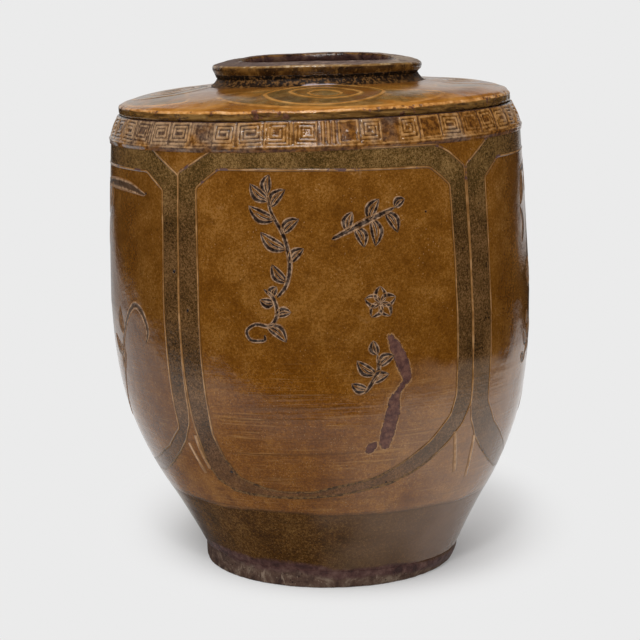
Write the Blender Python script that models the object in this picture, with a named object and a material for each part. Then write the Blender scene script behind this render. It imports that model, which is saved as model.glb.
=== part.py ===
"""Glazed stoneware pickling jar, modelled as the pieces of clay that a potter joins.

A round slab carries three wall sections, each lapped into the one below. A stamped fret
strip sits in a rebate at the top of the wall, a low conical shoulder slab closes the top,
and a collar and a rolled rim make the mouth. Trailed slip lines draw four panels on the
wall and four medallions on the shoulder.

The jar is upright at its foot and drawn over a little to its left above it. Every piece is
shaped upright, and drawn_over() then carries its points to the bent and leaning axis.
Metres, +Z up, and the front faces -Y. Angles round the jar start at the front and grow
towards +X.
"""

import math

import bmesh
import bpy
from mathutils import Matrix, Vector

# Fits between the clay pieces
SEAM_GAP = 0.0003
LAP_HEIGHT = 0.008
CUT_OVERRUN = 0.004

# How far the rings of the wall tilt to -X where the lean is full
LEAN = math.radians(2.06)

# The axis: upright at the foot, then drawn over to the left as the wall was built up
LEAN_START_HEIGHT = 0.0500
LEAN_FULL_HEIGHT = 0.3600
AXIS_OFFSET = 0.0153
AXIS_FOOT_SLOPE_SHARE = 0.0550
AXIS_HEAD_SLOPE_SHARE = 0.0244
NECK_OFFSET = 0.0029

# Base slab
SLAB_RADIUS = 0.1198
SLAB_THICKNESS = 0.0160
SLAB_CHAMFER = 0.0030

# Wall
WALL_FOOT_OVERHANG = 0.0027
BELLY_RADIUS = 0.1998
BELLY_HEIGHT = 0.2580
WALL_TOP_DRAW_IN = 0.0067
WALL_THICKNESS = 0.0110
GLAZE_LINE_HEIGHT = 0.0800
UPPER_CURVE_POWER = 1.4
# Height and radius from the foot to the belly, as shares of the two rises
FLARE_SHARES = (
    (0.000, 0.000),
    (0.058, 0.088),
    (0.120, 0.189),
    (0.203, 0.331),
    (0.306, 0.520),
    (0.430, 0.704),
    (0.554, 0.840),
    (0.678, 0.924),
    (0.822, 0.976),
    (1.000, 1.000),
)

# Fret band
BAND_FOOT_HEIGHT = 0.4135
BAND_HEIGHT = 0.0218
BAND_INWARD_LEAN = 0.0072
BAND_PROUD = 0.0012
BAND_THICKNESS = 0.0050
FRET_TILES = 48
FRET_TILE_MARGIN = 0.0022
FRET_GROOVE_WIDTH = 0.0021
FRET_GROOVE_PITCH = 0.0043
FRET_GROOVE_DEPTH = 0.0012
FRET_GROOVE_RUNS = 7

# Shoulder slab
SHOULDER_SETBACK = 0.0080
SHOULDER_EDGE_HEIGHT = 0.0080
SHOULDER_RISE = 0.0170
SHOULDER_DOME = 0.0030
SHOULDER_THICKNESS = 0.0100
SHOULDER_EDGE_ROUND = 0.0030
SHOULDER_SPIGOT_DEPTH = 0.0050
SHOULDER_SPIGOT_WIDTH = 0.0080

# Neck collar
NECK_RADIUS = 0.0935
NECK_THICKNESS = 0.0190
NECK_HEIGHT = 0.0031
NECK_SPIGOT_DEPTH = 0.0060
NECK_SPIGOT_WIDTH = 0.0072
NECK_LAP_HEIGHT = 0.0040

# Rim
RIM_OVERHANG = 0.0055
RIM_FOOT_OVERHANG = 0.0017
RIM_FACE_HEIGHT = 0.0100
RIM_BEVEL_RISE = 0.0064
RIM_UNDERCUT_HEIGHT = 0.0008
RIM_EDGE_ROUND = 0.0016
LIP_WIDTH = 0.0085
LIP_ROUND = 0.0010
MOUTH_LEDGE = 0.0025
MOUTH_ROUND = 0.0028

# Trailed slip lines
LINE_WIDTH = 0.0024
LINE_HEIGHT = 0.0012
LINE_STEP_DEG = 5.0
LINE_RISE_STEP = 0.0240
LINE_GAP = 0.0005

# Panels: where each begins and ends round the jar, and their outlines
PANELS = (
    ("front", -38.3, 42.7),
    ("right", 42.7, 135.5),
    ("back", 135.5, 228.5),
    ("left", 228.5, 321.7),
)
PANEL_HEAD_GAP = 0.0028
PANEL_FOOT_HEIGHT = 0.0967
PANEL_PARTING_DEG = 0.45
PANEL_CHAMFER_DEG = 10.0
PANEL_CHAMFER_HEIGHT = 0.0200
PANEL_CORNER_DEG = 30.0
PANEL_CORNER_HEIGHT = 0.0800
FRONT_LEFT_CORNER_DEG = 14.0
FRONT_LEFT_CORNER_HEIGHT = 0.0500
FRONT_RIGHT_CORNER_DEG = 50.0
FRONT_RIGHT_CORNER_HEIGHT = 0.0950
FRAME_SIDE_DEG = 5.8
FRAME_HEAD = 0.0172
FRAME_SILL = 0.0065
FRAME_CHAMFER_DEG = 6.5
FRAME_CHAMFER_HEIGHT = 0.0165
FRAME_CORNER_SHARE = 0.87

# Shoulder medallions
MEDALLION_COUNT = 4
MEDALLION_RADIUS = 0.1400
MEDALLION_HALF_LENGTH = 0.0520
MEDALLION_HALF_WIDTH = 0.0290
EYE_HALF_LENGTH = 0.0250
EYE_HALF_WIDTH = 0.0130
MEDALLION_SIDE_POINTS = 10

# Facets
WALL_SEGMENTS = 60
MOUTH_SEGMENTS = 48
ROUND_STEPS = 2
FOOT_RINGS = 4
LOWER_RINGS = 8
UPPER_RINGS = 6
INNER_RINGS = 3
SLOPE_PROBE = 0.0005
SHARP_ANGLE = math.radians(35)

# Radii and heights that follow from the sizes above
WALL_FOOT_RADIUS = SLAB_RADIUS + WALL_FOOT_OVERHANG
WALL_TOP_RADIUS = BELLY_RADIUS - WALL_TOP_DRAW_IN
SHOULDER_RADIUS = WALL_TOP_RADIUS - SHOULDER_SETBACK
NECK_BORE_RADIUS = NECK_RADIUS - NECK_THICKNESS
SHOULDER_HOLE_RADIUS = NECK_BORE_RADIUS + NECK_SPIGOT_WIDTH + SEAM_GAP
RIM_RADIUS = NECK_RADIUS + RIM_OVERHANG
RIM_FOOT_RADIUS = NECK_RADIUS + RIM_FOOT_OVERHANG
MOUTH_RADIUS = NECK_BORE_RADIUS - MOUTH_LEDGE
LIP_RADIUS = MOUTH_RADIUS + LIP_WIDTH
BAND_TOP_HEIGHT = BAND_FOOT_HEIGHT + BAND_HEIGHT
WALL_TOP_HEIGHT = BAND_TOP_HEIGHT
SHOULDER_SEAT_HEIGHT = WALL_TOP_HEIGHT + SEAM_GAP
SHOULDER_EDGE_TOP = SHOULDER_SEAT_HEIGHT + SHOULDER_EDGE_HEIGHT
NECK_SEAT_HEIGHT = SHOULDER_EDGE_TOP + SHOULDER_RISE
RIM_SEAT_HEIGHT = NECK_SEAT_HEIGHT + SEAM_GAP + NECK_HEIGHT


def share_curve(shares, share):
    """The second share at the given first share, on a smooth curve through the points."""
    last = len(shares) - 1
    index = 0
    while index < last - 1 and share > shares[index + 1][0]:
        index += 1
    slopes = []
    for point in (index, index + 1):
        before = shares[max(point - 1, 0)]
        after = shares[min(point + 1, last)]
        slopes.append((after[1] - before[1]) / (after[0] - before[0]))
    low, high = shares[index], shares[index + 1]
    span = high[0] - low[0]
    t = (share - low[0]) / span
    rise = (1 + 2 * t) * (1 - t) ** 2 * low[1] + t * t * (3 - 2 * t) * high[1]
    return rise + span * (t * (1 - t) ** 2 * slopes[0] - t * t * (1 - t) * slopes[1])


def wall_radius(height):
    """Outer radius of the wall at a height on the leaning axis."""
    if height < BELLY_HEIGHT:
        share = (height - SLAB_THICKNESS) / (BELLY_HEIGHT - SLAB_THICKNESS)
        rise = share_curve(FLARE_SHARES, max(share, 0.0))
        return WALL_FOOT_RADIUS + rise * (BELLY_RADIUS - WALL_FOOT_RADIUS)
    share = (height - BELLY_HEIGHT) / (BAND_FOOT_HEIGHT - BELLY_HEIGHT)
    fall = share**UPPER_CURVE_POWER
    return BELLY_RADIUS - fall * (BELLY_RADIUS - WALL_TOP_RADIUS)


def wall_slope(height):
    """How fast the outer radius grows with height."""
    above = wall_radius(height + SLOPE_PROBE)
    below = wall_radius(height - SLOPE_PROBE)
    return (above - below) / (2 * SLOPE_PROBE)


def radius_inside(height, depth):
    """Radius at a depth measured square to the wall's outer face."""
    return wall_radius(height) - depth * math.hypot(1, wall_slope(height))


def shoulder_top(radius):
    """Height of the shoulder slab's upper face between its edge and the neck."""
    share = (SHOULDER_RADIUS - radius) / (SHOULDER_RADIUS - NECK_RADIUS)
    return SHOULDER_EDGE_TOP + share * SHOULDER_RISE + 4 * share * (1 - share) * SHOULDER_DOME


def steps_between(low, high, count):
    return [low + (high - low) * step / count for step in range(count + 1)]


def rounded(corners):
    """Outline points of (radius, height, round) corners, each round drawn as an arc."""
    points = []
    for index, (radius, height, size) in enumerate(corners):
        corner = Vector((radius, height))
        if size == 0:
            points.append(corner)
            continue
        before = Vector(corners[index - 1][:2]) - corner
        after = Vector(corners[(index + 1) % len(corners)][:2]) - corner
        half = before.angle(after) / 2
        reach = min(size / math.tan(half), before.length / 2, after.length / 2)
        start = corner + before.normalized() * reach
        end = corner + after.normalized() * reach
        for t in steps_between(0, 1, ROUND_STEPS):
            points.append(start * (1 - t) ** 2 + corner * 2 * t * (1 - t) + end * t * t)
    return [tuple(point) for point in points]


def new_material(name, colour, roughness):
    material = bpy.data.materials.new(name)
    material.use_nodes = True
    shader = material.node_tree.nodes["Principled BSDF"]
    shader.inputs["Base Color"].default_value = (*colour, 1)
    shader.inputs["Roughness"].default_value = roughness
    shader.inputs["Metallic"].default_value = 0
    return material


def eased(share):
    """A share from 0 to 1 that starts and stops smoothly."""
    share = min(max(share, 0.0), 1.0)
    return share * share * (3 - 2 * share)


def axis_offset(height):
    """How far to +X the axis is at a height on it."""
    share = min(height / LEAN_FULL_HEIGHT, 1.0)
    start = share * (1 - share) ** 2 * AXIS_FOOT_SLOPE_SHARE
    end = (share**3 - share**2) * AXIS_HEAD_SLOPE_SHARE
    offset = -eased(share) * AXIS_OFFSET - LEAN_FULL_HEIGHT * (start + end)
    offset -= max(height - LEAN_FULL_HEIGHT, 0.0) * AXIS_HEAD_SLOPE_SHARE
    neck = (height - SHOULDER_EDGE_TOP) / (NECK_SEAT_HEIGHT - SHOULDER_EDGE_TOP)
    return offset + min(max(neck, 0.0), 1.0) * NECK_OFFSET


def drawn_over(place):
    """Moves a place on the upright jar to where the bent and leaning axis carries it."""
    share = (place.z - LEAN_START_HEIGHT) / (LEAN_FULL_HEIGHT - LEAN_START_HEIGHT)
    tilt = LEAN * eased(share)
    across = axis_offset(place.z) + place.x * math.cos(tilt)
    return Vector((across, place.y, place.z + place.x * math.sin(tilt)))


def finish_mesh(bm, name, material):
    """Turns an upright bmesh into a smooth-shaded object on the leaning axis."""
    for vert in bm.verts:
        vert.co = drawn_over(vert.co)
    bmesh.ops.recalc_face_normals(bm, faces=bm.faces)
    mesh = bpy.data.meshes.new(name)
    bm.to_mesh(mesh)
    bm.free()
    mesh.shade_smooth()
    mesh.set_sharp_from_angle(angle=SHARP_ANGLE)
    mesh.materials.append(material)
    thing = bpy.data.objects.new(name, mesh)
    bpy.context.scene.collection.objects.link(thing)
    return thing


def lathe(outline, segments, start=0.0):
    """A closed outline of (radius, height) points, spun about the axis into a ring."""
    bm = bmesh.new()
    turned = Matrix.Rotation(start, 4, "Z")
    loop = [bm.verts.new(turned @ Vector((radius, 0, height))) for radius, height in outline]
    edges = [bm.edges.new((loop[index - 1], vert)) for index, vert in enumerate(loop)]
    bmesh.ops.spin(
        bm,
        geom=loop + edges,
        cent=(0, 0, 0),
        axis=(0, 0, 1),
        angle=math.tau,
        steps=segments,
        use_merge=True,
    )
    return bm


def make_base_slab(material):
    """The round slab that the wall was built up on, with a cut lower edge."""
    outline = [
        (SLAB_RADIUS - SLAB_CHAMFER, 0),
        (SLAB_RADIUS, SLAB_CHAMFER),
        (SLAB_RADIUS, SLAB_THICKNESS),
    ]
    bm = bmesh.new()
    rings = []
    for radius, height in outline:
        ring = bmesh.ops.create_circle(bm, segments=WALL_SEGMENTS, radius=radius)["verts"]
        bmesh.ops.translate(bm, verts=ring, vec=(0, 0, height))
        rings.append(ring)
    for low, high in zip(rings[:-1], rings[1:]):
        for index, vert in enumerate(low):
            bm.faces.new((low[index - 1], vert, high[index], high[index - 1]))
    bm.faces.new(rings[0])
    bm.faces.new(rings[-1])
    return finish_mesh(bm, "base_slab", material)


def section_top(seam):
    """The upper lap of a wall section: its inner half stands up inside the next one."""
    middle = WALL_THICKNESS / 2
    high = seam + LAP_HEIGHT
    return [
        (radius_inside(seam, middle), seam),
        (radius_inside(high, middle), high),
    ]


def section_foot(seam):
    """The lower lap of a wall section, from its inside out, clear of the one below."""
    middle = WALL_THICKNESS / 2
    low = seam + SEAM_GAP
    high = low + LAP_HEIGHT
    return [
        (radius_inside(high, middle) + SEAM_GAP, high),
        (radius_inside(low, middle) + SEAM_GAP, low),
    ]


def wall_face(low, high, count, depth):
    """Outline points up one face of the wall, at a depth inside its outer face."""
    return [
        (radius_inside(height, depth), height) for height in steps_between(low, high, count)
    ]


def make_foot_section(material):
    low = SLAB_THICKNESS + SEAM_GAP
    seam = GLAZE_LINE_HEIGHT
    outline = wall_face(low, seam, FOOT_RINGS, 0)
    outline += section_top(seam)
    outline += reversed(wall_face(low, seam + LAP_HEIGHT, INNER_RINGS, WALL_THICKNESS))
    return finish_mesh(lathe(outline, WALL_SEGMENTS), "foot_section", material)


def make_lower_wall(material):
    low = GLAZE_LINE_HEIGHT
    seam = BELLY_HEIGHT
    outline = wall_face(low + SEAM_GAP, seam, LOWER_RINGS, 0)
    outline += section_top(seam)
    inner_low = low + SEAM_GAP + LAP_HEIGHT
    outline += reversed(wall_face(inner_low, seam + LAP_HEIGHT, INNER_RINGS, WALL_THICKNESS))
    outline += section_foot(low)
    return finish_mesh(lathe(outline, WALL_SEGMENTS), "lower_wall", material)


def rebate_radius(height):
    """Radius of the wall behind the fret band."""
    share = (height - BAND_FOOT_HEIGHT) / BAND_HEIGHT
    return WALL_TOP_RADIUS + BAND_PROUD - share * BAND_INWARD_LEAN - BAND_THICKNESS


def wall_top_bore():
    """Inner radius of the wall where the shoulder slab sits on it."""
    return radius_inside(BAND_FOOT_HEIGHT, WALL_THICKNESS) - BAND_INWARD_LEAN


def make_upper_wall(material):
    low = BELLY_HEIGHT
    shelf = BAND_FOOT_HEIGHT - SEAM_GAP
    outline = wall_face(low + SEAM_GAP, shelf, UPPER_RINGS, 0)
    outline.append((rebate_radius(shelf), shelf))
    outline.append((rebate_radius(WALL_TOP_HEIGHT), WALL_TOP_HEIGHT))
    outline.append((wall_top_bore(), WALL_TOP_HEIGHT))
    inner_low = low + SEAM_GAP + LAP_HEIGHT
    outline += reversed(wall_face(inner_low, shelf, INNER_RINGS, WALL_THICKNESS))
    outline += section_foot(low)
    return finish_mesh(lathe(outline, WALL_SEGMENTS), "upper_wall", material)


def square_spiral(half_width, half_height, pitch, runs):
    """Corners of a square spiral that winds inwards from the lower right."""
    left, right = -half_width, half_width
    bottom, top = -half_height, half_height
    corners = [(right, bottom)]
    for run in range(runs):
        side = run % 4
        if side == 0:
            corners.append((left, bottom))
            bottom += pitch
        elif side == 1:
            corners.append((left, top))
            left += pitch
        elif side == 2:
            corners.append((right, top))
            top -= pitch
        else:
            corners.append((right, bottom))
            right -= pitch
    return corners


def ribbon(path, width):
    """Outline of a band of a width that follows a path in the plane, with square corners."""
    sides = ([], [])
    for index, point in enumerate(path):
        here = Vector(point)
        before = here - Vector(path[index - 1]) if index else None
        after = Vector(path[index + 1]) - here if index + 1 < len(path) else None
        ways = [way.normalized() for way in (before, after) if way is not None]
        across = sum((Vector((-way.y, way.x)) for way in ways), Vector((0, 0))).normalized()
        reach = width / 2 / across.dot(Vector((-ways[0].y, ways[0].x)))
        sides[0].append(here + across * reach)
        sides[1].append(here - across * reach)
    return sides[0] + sides[1][::-1]


def band_face_radius(height):
    """Distance from the axis to the flat of a fret tile."""
    share = (height - BAND_FOOT_HEIGHT) / BAND_HEIGHT
    return WALL_TOP_RADIUS + BAND_PROUD - share * BAND_INWARD_LEAN


def make_fret_stamps():
    """The stamp's raised spirals, one for each tile, turned the other way on every second."""
    foot = Vector((0, -band_face_radius(BAND_FOOT_HEIGHT), BAND_FOOT_HEIGHT))
    head = Vector((0, -band_face_radius(BAND_TOP_HEIGHT), BAND_TOP_HEIGHT))
    upward = (head - foot).normalized()
    outward = Vector((1, 0, 0)).cross(upward)
    middle_radius = band_face_radius(BAND_FOOT_HEIGHT + BAND_HEIGHT / 2)
    half_width = middle_radius * math.tan(math.pi / FRET_TILES) - FRET_TILE_MARGIN
    half_height = (head - foot).length / 2 - FRET_TILE_MARGIN
    path = square_spiral(half_width, half_height, FRET_GROOVE_PITCH, FRET_GROOVE_RUNS)
    outline = ribbon(path, FRET_GROOVE_WIDTH)
    bm = bmesh.new()
    for tile in range(FRET_TILES):
        mirrored = -1 if tile % 2 else 1
        turn = Matrix.Rotation(math.tau * tile / FRET_TILES, 4, "Z")
        floor = []
        for across, up in outline:
            flat = (foot + head) / 2 + Vector((across * mirrored, 0, 0)) + upward * up
            floor.append(bm.verts.new(turn @ (flat - outward * FRET_GROOVE_DEPTH)))
        face = bm.faces.new(floor)
        raised = bmesh.ops.extrude_face_region(bm, geom=[face])["geom"]
        lifted = [item for item in raised if isinstance(item, bmesh.types.BMVert)]
        travel = turn @ (outward * (FRET_GROOVE_DEPTH + CUT_OVERRUN))
        bmesh.ops.translate(bm, verts=lifted, vec=travel)
    stamps = finish_mesh(bm, "fret_stamps", bpy.data.materials["amber_glaze"])
    stamps.hide_render = True
    stamps.display_type = "WIRE"
    return stamps


def make_fret_band(material):
    """A strip of flat tiles in the wall's rebate, with a square spiral pressed into each."""
    corner = 1 / math.cos(math.pi / FRET_TILES)
    seat_foot = (rebate_radius(BAND_FOOT_HEIGHT) + SEAM_GAP) * corner
    seat_head = (rebate_radius(BAND_TOP_HEIGHT) + SEAM_GAP) * corner
    outline = [
        (seat_foot, BAND_FOOT_HEIGHT),
        (band_face_radius(BAND_FOOT_HEIGHT) * corner, BAND_FOOT_HEIGHT),
        (band_face_radius(BAND_TOP_HEIGHT) * corner, BAND_TOP_HEIGHT),
        (seat_head, BAND_TOP_HEIGHT),
    ]
    bm = lathe(outline, FRET_TILES, math.pi / FRET_TILES)
    band = finish_mesh(bm, "fret_band", material)
    pressed = band.modifiers.new("pressed spirals", "BOOLEAN")
    pressed.operation = "DIFFERENCE"
    pressed.solver = "EXACT"
    pressed.object = make_fret_stamps()
    return band


def make_shoulder_slab(material):
    """The low cone that closes the wall, with a spigot inside the wall's top."""
    spigot_outer = wall_top_bore() - SEAM_GAP
    spigot_inner = spigot_outer - SHOULDER_SPIGOT_WIDTH
    spigot_foot = SHOULDER_SEAT_HEIGHT - SHOULDER_SPIGOT_DEPTH
    edge = [
        (SHOULDER_RADIUS, SHOULDER_SEAT_HEIGHT, 0),
        (SHOULDER_RADIUS, SHOULDER_EDGE_TOP, SHOULDER_EDGE_ROUND),
    ]
    top = [
        (radius, shoulder_top(radius), 0)
        for radius in steps_between(SHOULDER_RADIUS, NECK_RADIUS, 4)[1:]
    ]
    under_hole = NECK_SEAT_HEIGHT - SHOULDER_THICKNESS
    under_spigot = shoulder_top(spigot_inner) - SHOULDER_THICKNESS
    below = [
        (SHOULDER_HOLE_RADIUS, NECK_SEAT_HEIGHT, 0),
        (SHOULDER_HOLE_RADIUS, under_hole, 0),
        (NECK_RADIUS, under_hole, 0),
        (spigot_inner, under_spigot, 0),
        (spigot_inner, spigot_foot, 0),
        (spigot_outer, spigot_foot, 0),
        (spigot_outer, SHOULDER_SEAT_HEIGHT, 0),
    ]
    bm = lathe(rounded(edge + top + below), WALL_SEGMENTS)
    return finish_mesh(bm, "shoulder_slab", material)


def neck_lap_radius():
    return (NECK_RADIUS + NECK_BORE_RADIUS) / 2


def make_neck_collar(material):
    """The short collar: a spigot down into the shoulder's hole and a lap up into the rim."""
    seat = NECK_SEAT_HEIGHT + SEAM_GAP
    spigot = SHOULDER_HOLE_RADIUS - SEAM_GAP
    outline = [
        (NECK_RADIUS, seat),
        (NECK_RADIUS, RIM_SEAT_HEIGHT),
        (neck_lap_radius(), RIM_SEAT_HEIGHT),
        (neck_lap_radius(), RIM_SEAT_HEIGHT + NECK_LAP_HEIGHT),
        (NECK_BORE_RADIUS, RIM_SEAT_HEIGHT + NECK_LAP_HEIGHT),
        (NECK_BORE_RADIUS, seat - NECK_SPIGOT_DEPTH),
        (spigot, seat - NECK_SPIGOT_DEPTH),
        (spigot, seat),
    ]
    return finish_mesh(lathe(outline, MOUTH_SEGMENTS), "neck_collar", material)


def make_mouth_rim(material):
    """The thick rim: an upright face over an undercut, a bevel and a flat lip."""
    seat = RIM_SEAT_HEIGHT + SEAM_GAP
    face_foot = seat + RIM_UNDERCUT_HEIGHT
    edge = face_foot + RIM_FACE_HEIGHT
    lip = edge + RIM_BEVEL_RISE
    lap = neck_lap_radius() + SEAM_GAP
    corners = [
        (NECK_RADIUS, seat, 0),
        (RIM_FOOT_RADIUS, face_foot, RIM_UNDERCUT_HEIGHT),
        (RIM_RADIUS, edge, RIM_EDGE_ROUND),
        (LIP_RADIUS, lip, LIP_ROUND),
        (MOUTH_RADIUS, lip, MOUTH_ROUND),
        (MOUTH_RADIUS, edge, 0),
        (NECK_BORE_RADIUS, seat + NECK_LAP_HEIGHT, 0),
        (lap, seat + NECK_LAP_HEIGHT, 0),
        (lap, seat, 0),
    ]
    return finish_mesh(lathe(rounded(corners), MOUTH_SEGMENTS), "mouth_rim", material)


def on_wall(angle_deg, height):
    """Place and outward direction on the wall at an angle and height."""
    angle = math.radians(angle_deg)
    outward = Vector((math.sin(angle), -math.cos(angle), 0))
    normal = (outward - Vector((0, 0, wall_slope(height)))).normalized()
    return outward * wall_radius(height) + Vector((0, 0, height)), normal


def on_shoulder(angle_deg, radius):
    """Place and outward direction on the shoulder slab at an angle and radius."""
    angle = math.radians(angle_deg)
    outward = Vector((math.sin(angle), -math.cos(angle), 0))
    above = shoulder_top(radius - SLOPE_PROBE)
    below = shoulder_top(radius + SLOPE_PROBE)
    normal = Vector((0, 0, 1)) + outward * (above - below) / (2 * SLOPE_PROBE)
    return outward * radius + Vector((0, 0, shoulder_top(radius))), normal.normalized()


def make_line(name, places, material):
    """A closed ridge of trailed slip along (place, outward) pairs, just clear of the clay."""
    bm = bmesh.new()
    rings = []
    for index, (place, normal) in enumerate(places):
        before = places[index - 1][0]
        after = places[(index + 1) % len(places)][0]
        across = normal.cross(after - before).normalized() * LINE_WIDTH / 2
        seat = place + normal * LINE_GAP
        rings.append(
            [
                bm.verts.new(seat - across),
                bm.verts.new(seat + normal * LINE_HEIGHT),
                bm.verts.new(seat + across),
            ]
        )
    for index, ring in enumerate(rings):
        last = rings[index - 1]
        for side in range(3):
            bm.faces.new((last[side - 1], last[side], ring[side], ring[side - 1]))
    return finish_mesh(bm, name, material)


def panel_outline(left, right, foot, head, chamfer, corners):
    """A panel's outline as (angle, height) points: cut upper corners and elliptic lower ones.

    chamfer and each of the two corners, left and right, are an angle and a height.
    """
    points = [
        (left, head - chamfer[1]),
        (left + chamfer[0], head),
        (right - chamfer[0], head),
        (right, head - chamfer[1]),
    ]
    for end, way, corner in ((right, -1, corners[1]), (left, 1, corners[0])):
        turn = steps_between(0, math.pi / 2, math.ceil(corner[0] / LINE_STEP_DEG))
        if end == left:
            turn.reverse()
        for quarter in turn:
            angle = end + way * corner[0] * (1 - math.cos(quarter))
            points.append((angle, foot + corner[1] * (1 - math.sin(quarter))))
    return points


def stepped(outline):
    """The closed (angle, height) outline with its long sides cut into short steps."""
    points = []
    for index, (angle, height) in enumerate(outline):
        next_angle, next_height = outline[(index + 1) % len(outline)]
        turns = abs(next_angle - angle) / LINE_STEP_DEG
        rises = abs(next_height - height) / LINE_RISE_STEP
        count = max(math.ceil(max(turns, rises)), 1)
        angles = steps_between(angle, next_angle, count)
        heights = steps_between(height, next_height, count)
        points += list(zip(angles, heights))[:-1]
    return points


def panel_corners(side):
    """The lower corners of a panel, left and right, each an angle and a height."""
    if side == "front":
        return (
            (FRONT_LEFT_CORNER_DEG, FRONT_LEFT_CORNER_HEIGHT),
            (FRONT_RIGHT_CORNER_DEG, FRONT_RIGHT_CORNER_HEIGHT),
        )
    return ((PANEL_CORNER_DEG, PANEL_CORNER_HEIGHT),) * 2


def make_panel_lines(material):
    """Each panel's outer line, and the inner line that leaves its frame between them."""
    head = BAND_FOOT_HEIGHT - PANEL_HEAD_GAP
    for side, left, right in PANELS:
        left += PANEL_PARTING_DEG
        right -= PANEL_PARTING_DEG
        corners = panel_corners(side)
        inner_corners = [
            [size * FRAME_CORNER_SHARE for size in corner] for corner in corners
        ]
        outer = panel_outline(
            left,
            right,
            PANEL_FOOT_HEIGHT,
            head,
            (PANEL_CHAMFER_DEG, PANEL_CHAMFER_HEIGHT),
            corners,
        )
        inner = panel_outline(
            left + FRAME_SIDE_DEG,
            right - FRAME_SIDE_DEG,
            PANEL_FOOT_HEIGHT + FRAME_SILL,
            head - FRAME_HEAD,
            (FRAME_CHAMFER_DEG, FRAME_CHAMFER_HEIGHT),
            inner_corners,
        )
        for kind, outline in (("outer", outer), ("inner", inner)):
            places = [on_wall(*point) for point in stepped(outline)]
            make_line(f"{side}_panel_{kind}_line", places, material)


def lens(half_length, half_width):
    """A closed lens outline in the plane, pointed at both ends."""
    sides = []
    for way in (1, -1):
        for along in steps_between(-way, way, MEDALLION_SIDE_POINTS)[:-1]:
            sides.append((half_length * along, way * half_width * (1 - along * along)))
    return sides


def make_medallion_lines(material):
    """Lens medallions round the shoulder, each with a smaller eye inside."""
    sizes = (
        ("medallion_line", MEDALLION_HALF_LENGTH, MEDALLION_HALF_WIDTH),
        ("medallion_eye", EYE_HALF_LENGTH, EYE_HALF_WIDTH),
    )
    for number in range(MEDALLION_COUNT):
        middle = 360 * number / MEDALLION_COUNT
        for kind, half_length, half_width in sizes:
            places = []
            for along, outward in lens(half_length, half_width):
                radius = MEDALLION_RADIUS + outward
                angle = middle + math.degrees(along / MEDALLION_RADIUS)
                places.append(on_shoulder(angle, radius))
            make_line(f"{kind}_{number + 1}", places, material)


def main():
    for thing in list(bpy.data.objects):
        bpy.data.objects.remove(thing)
    amber = new_material("amber_glaze", (0.27, 0.12, 0.022), 0.22)
    raw_clay = new_material("raw_clay", (0.12, 0.06, 0.045), 0.8)
    brown = new_material("brown_glaze", (0.09, 0.045, 0.025), 0.3)
    slip = new_material("slip_line", (0.42, 0.23, 0.07), 0.3)
    make_base_slab(raw_clay)
    make_foot_section(amber)
    make_lower_wall(amber)
    make_upper_wall(amber)
    make_fret_band(amber)
    make_shoulder_slab(amber)
    make_neck_collar(brown)
    make_mouth_rim(brown)
    make_panel_lines(slip)
    make_medallion_lines(slip)


main()
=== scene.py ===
"""The pickling jar's glaze, trailed lines, stamped band and raw clay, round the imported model.

Lengths are in metres. A place on the jar is an angle from its front, growing towards +X,
and a height on its own axis, which leans a little to the left.
"""

import math

import bpy
import numpy as np
from mathutils import Matrix, Vector, noise


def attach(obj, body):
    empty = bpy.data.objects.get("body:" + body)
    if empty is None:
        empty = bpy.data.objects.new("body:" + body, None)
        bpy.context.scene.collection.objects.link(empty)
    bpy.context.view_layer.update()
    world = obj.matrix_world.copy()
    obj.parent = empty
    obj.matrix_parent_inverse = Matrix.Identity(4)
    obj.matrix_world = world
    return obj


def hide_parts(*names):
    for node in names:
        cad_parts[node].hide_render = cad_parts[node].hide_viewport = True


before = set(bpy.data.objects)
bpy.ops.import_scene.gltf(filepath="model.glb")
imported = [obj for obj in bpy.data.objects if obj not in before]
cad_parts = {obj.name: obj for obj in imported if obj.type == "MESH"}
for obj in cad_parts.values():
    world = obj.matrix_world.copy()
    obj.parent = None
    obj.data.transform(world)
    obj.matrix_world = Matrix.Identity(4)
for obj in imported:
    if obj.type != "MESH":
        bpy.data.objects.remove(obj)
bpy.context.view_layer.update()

MM = 0.001

# How the axis leans and bends, as the solids have it
LEAN = math.radians(2.06)
LEAN_START_HEIGHT = 0.050
LEAN_FULL_HEIGHT = 0.360
AXIS_OFFSET = 0.0153
AXIS_FOOT_SLOPE_SHARE = 0.055
AXIS_HEAD_SLOPE_SHARE = 0.0244
NECK_OFFSET = 0.0029

# The jar's outline round that axis, as the solids have it
SLAB_RADIUS = 0.1198
SLAB_TOP = 0.0160
WALL_FOOT_RADIUS = 0.1225
BELLY_RADIUS = 0.1998
BELLY_HEIGHT = 0.2580
WALL_TOP_RADIUS = 0.1931
WALL_THICKNESS = 0.0110
UPPER_CURVE_POWER = 1.4
FLARE_SHARES = (
    (0.000, 0.000),
    (0.058, 0.088),
    (0.120, 0.189),
    (0.203, 0.331),
    (0.306, 0.520),
    (0.430, 0.704),
    (0.554, 0.840),
    (0.678, 0.924),
    (0.822, 0.976),
    (1.000, 1.000),
)
BAND_FOOT = 0.4135
BAND_TOP = 0.4353
BAND_PROUD = 0.0012
BAND_INWARD_LEAN = 0.0072
SHOULDER_RADIUS = 0.1851
SHOULDER_EDGE_FOOT = 0.4356
SHOULDER_EDGE_TOP = 0.4436
SHOULDER_RISE = 0.0170
SHOULDER_DOME = 0.0030
NECK_RADIUS = 0.0935
NECK_FOOT = 0.4606
FITTED_WALL_RADIUS = 0.19  # turns degrees round the wall into lengths, for the drawn lines

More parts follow.
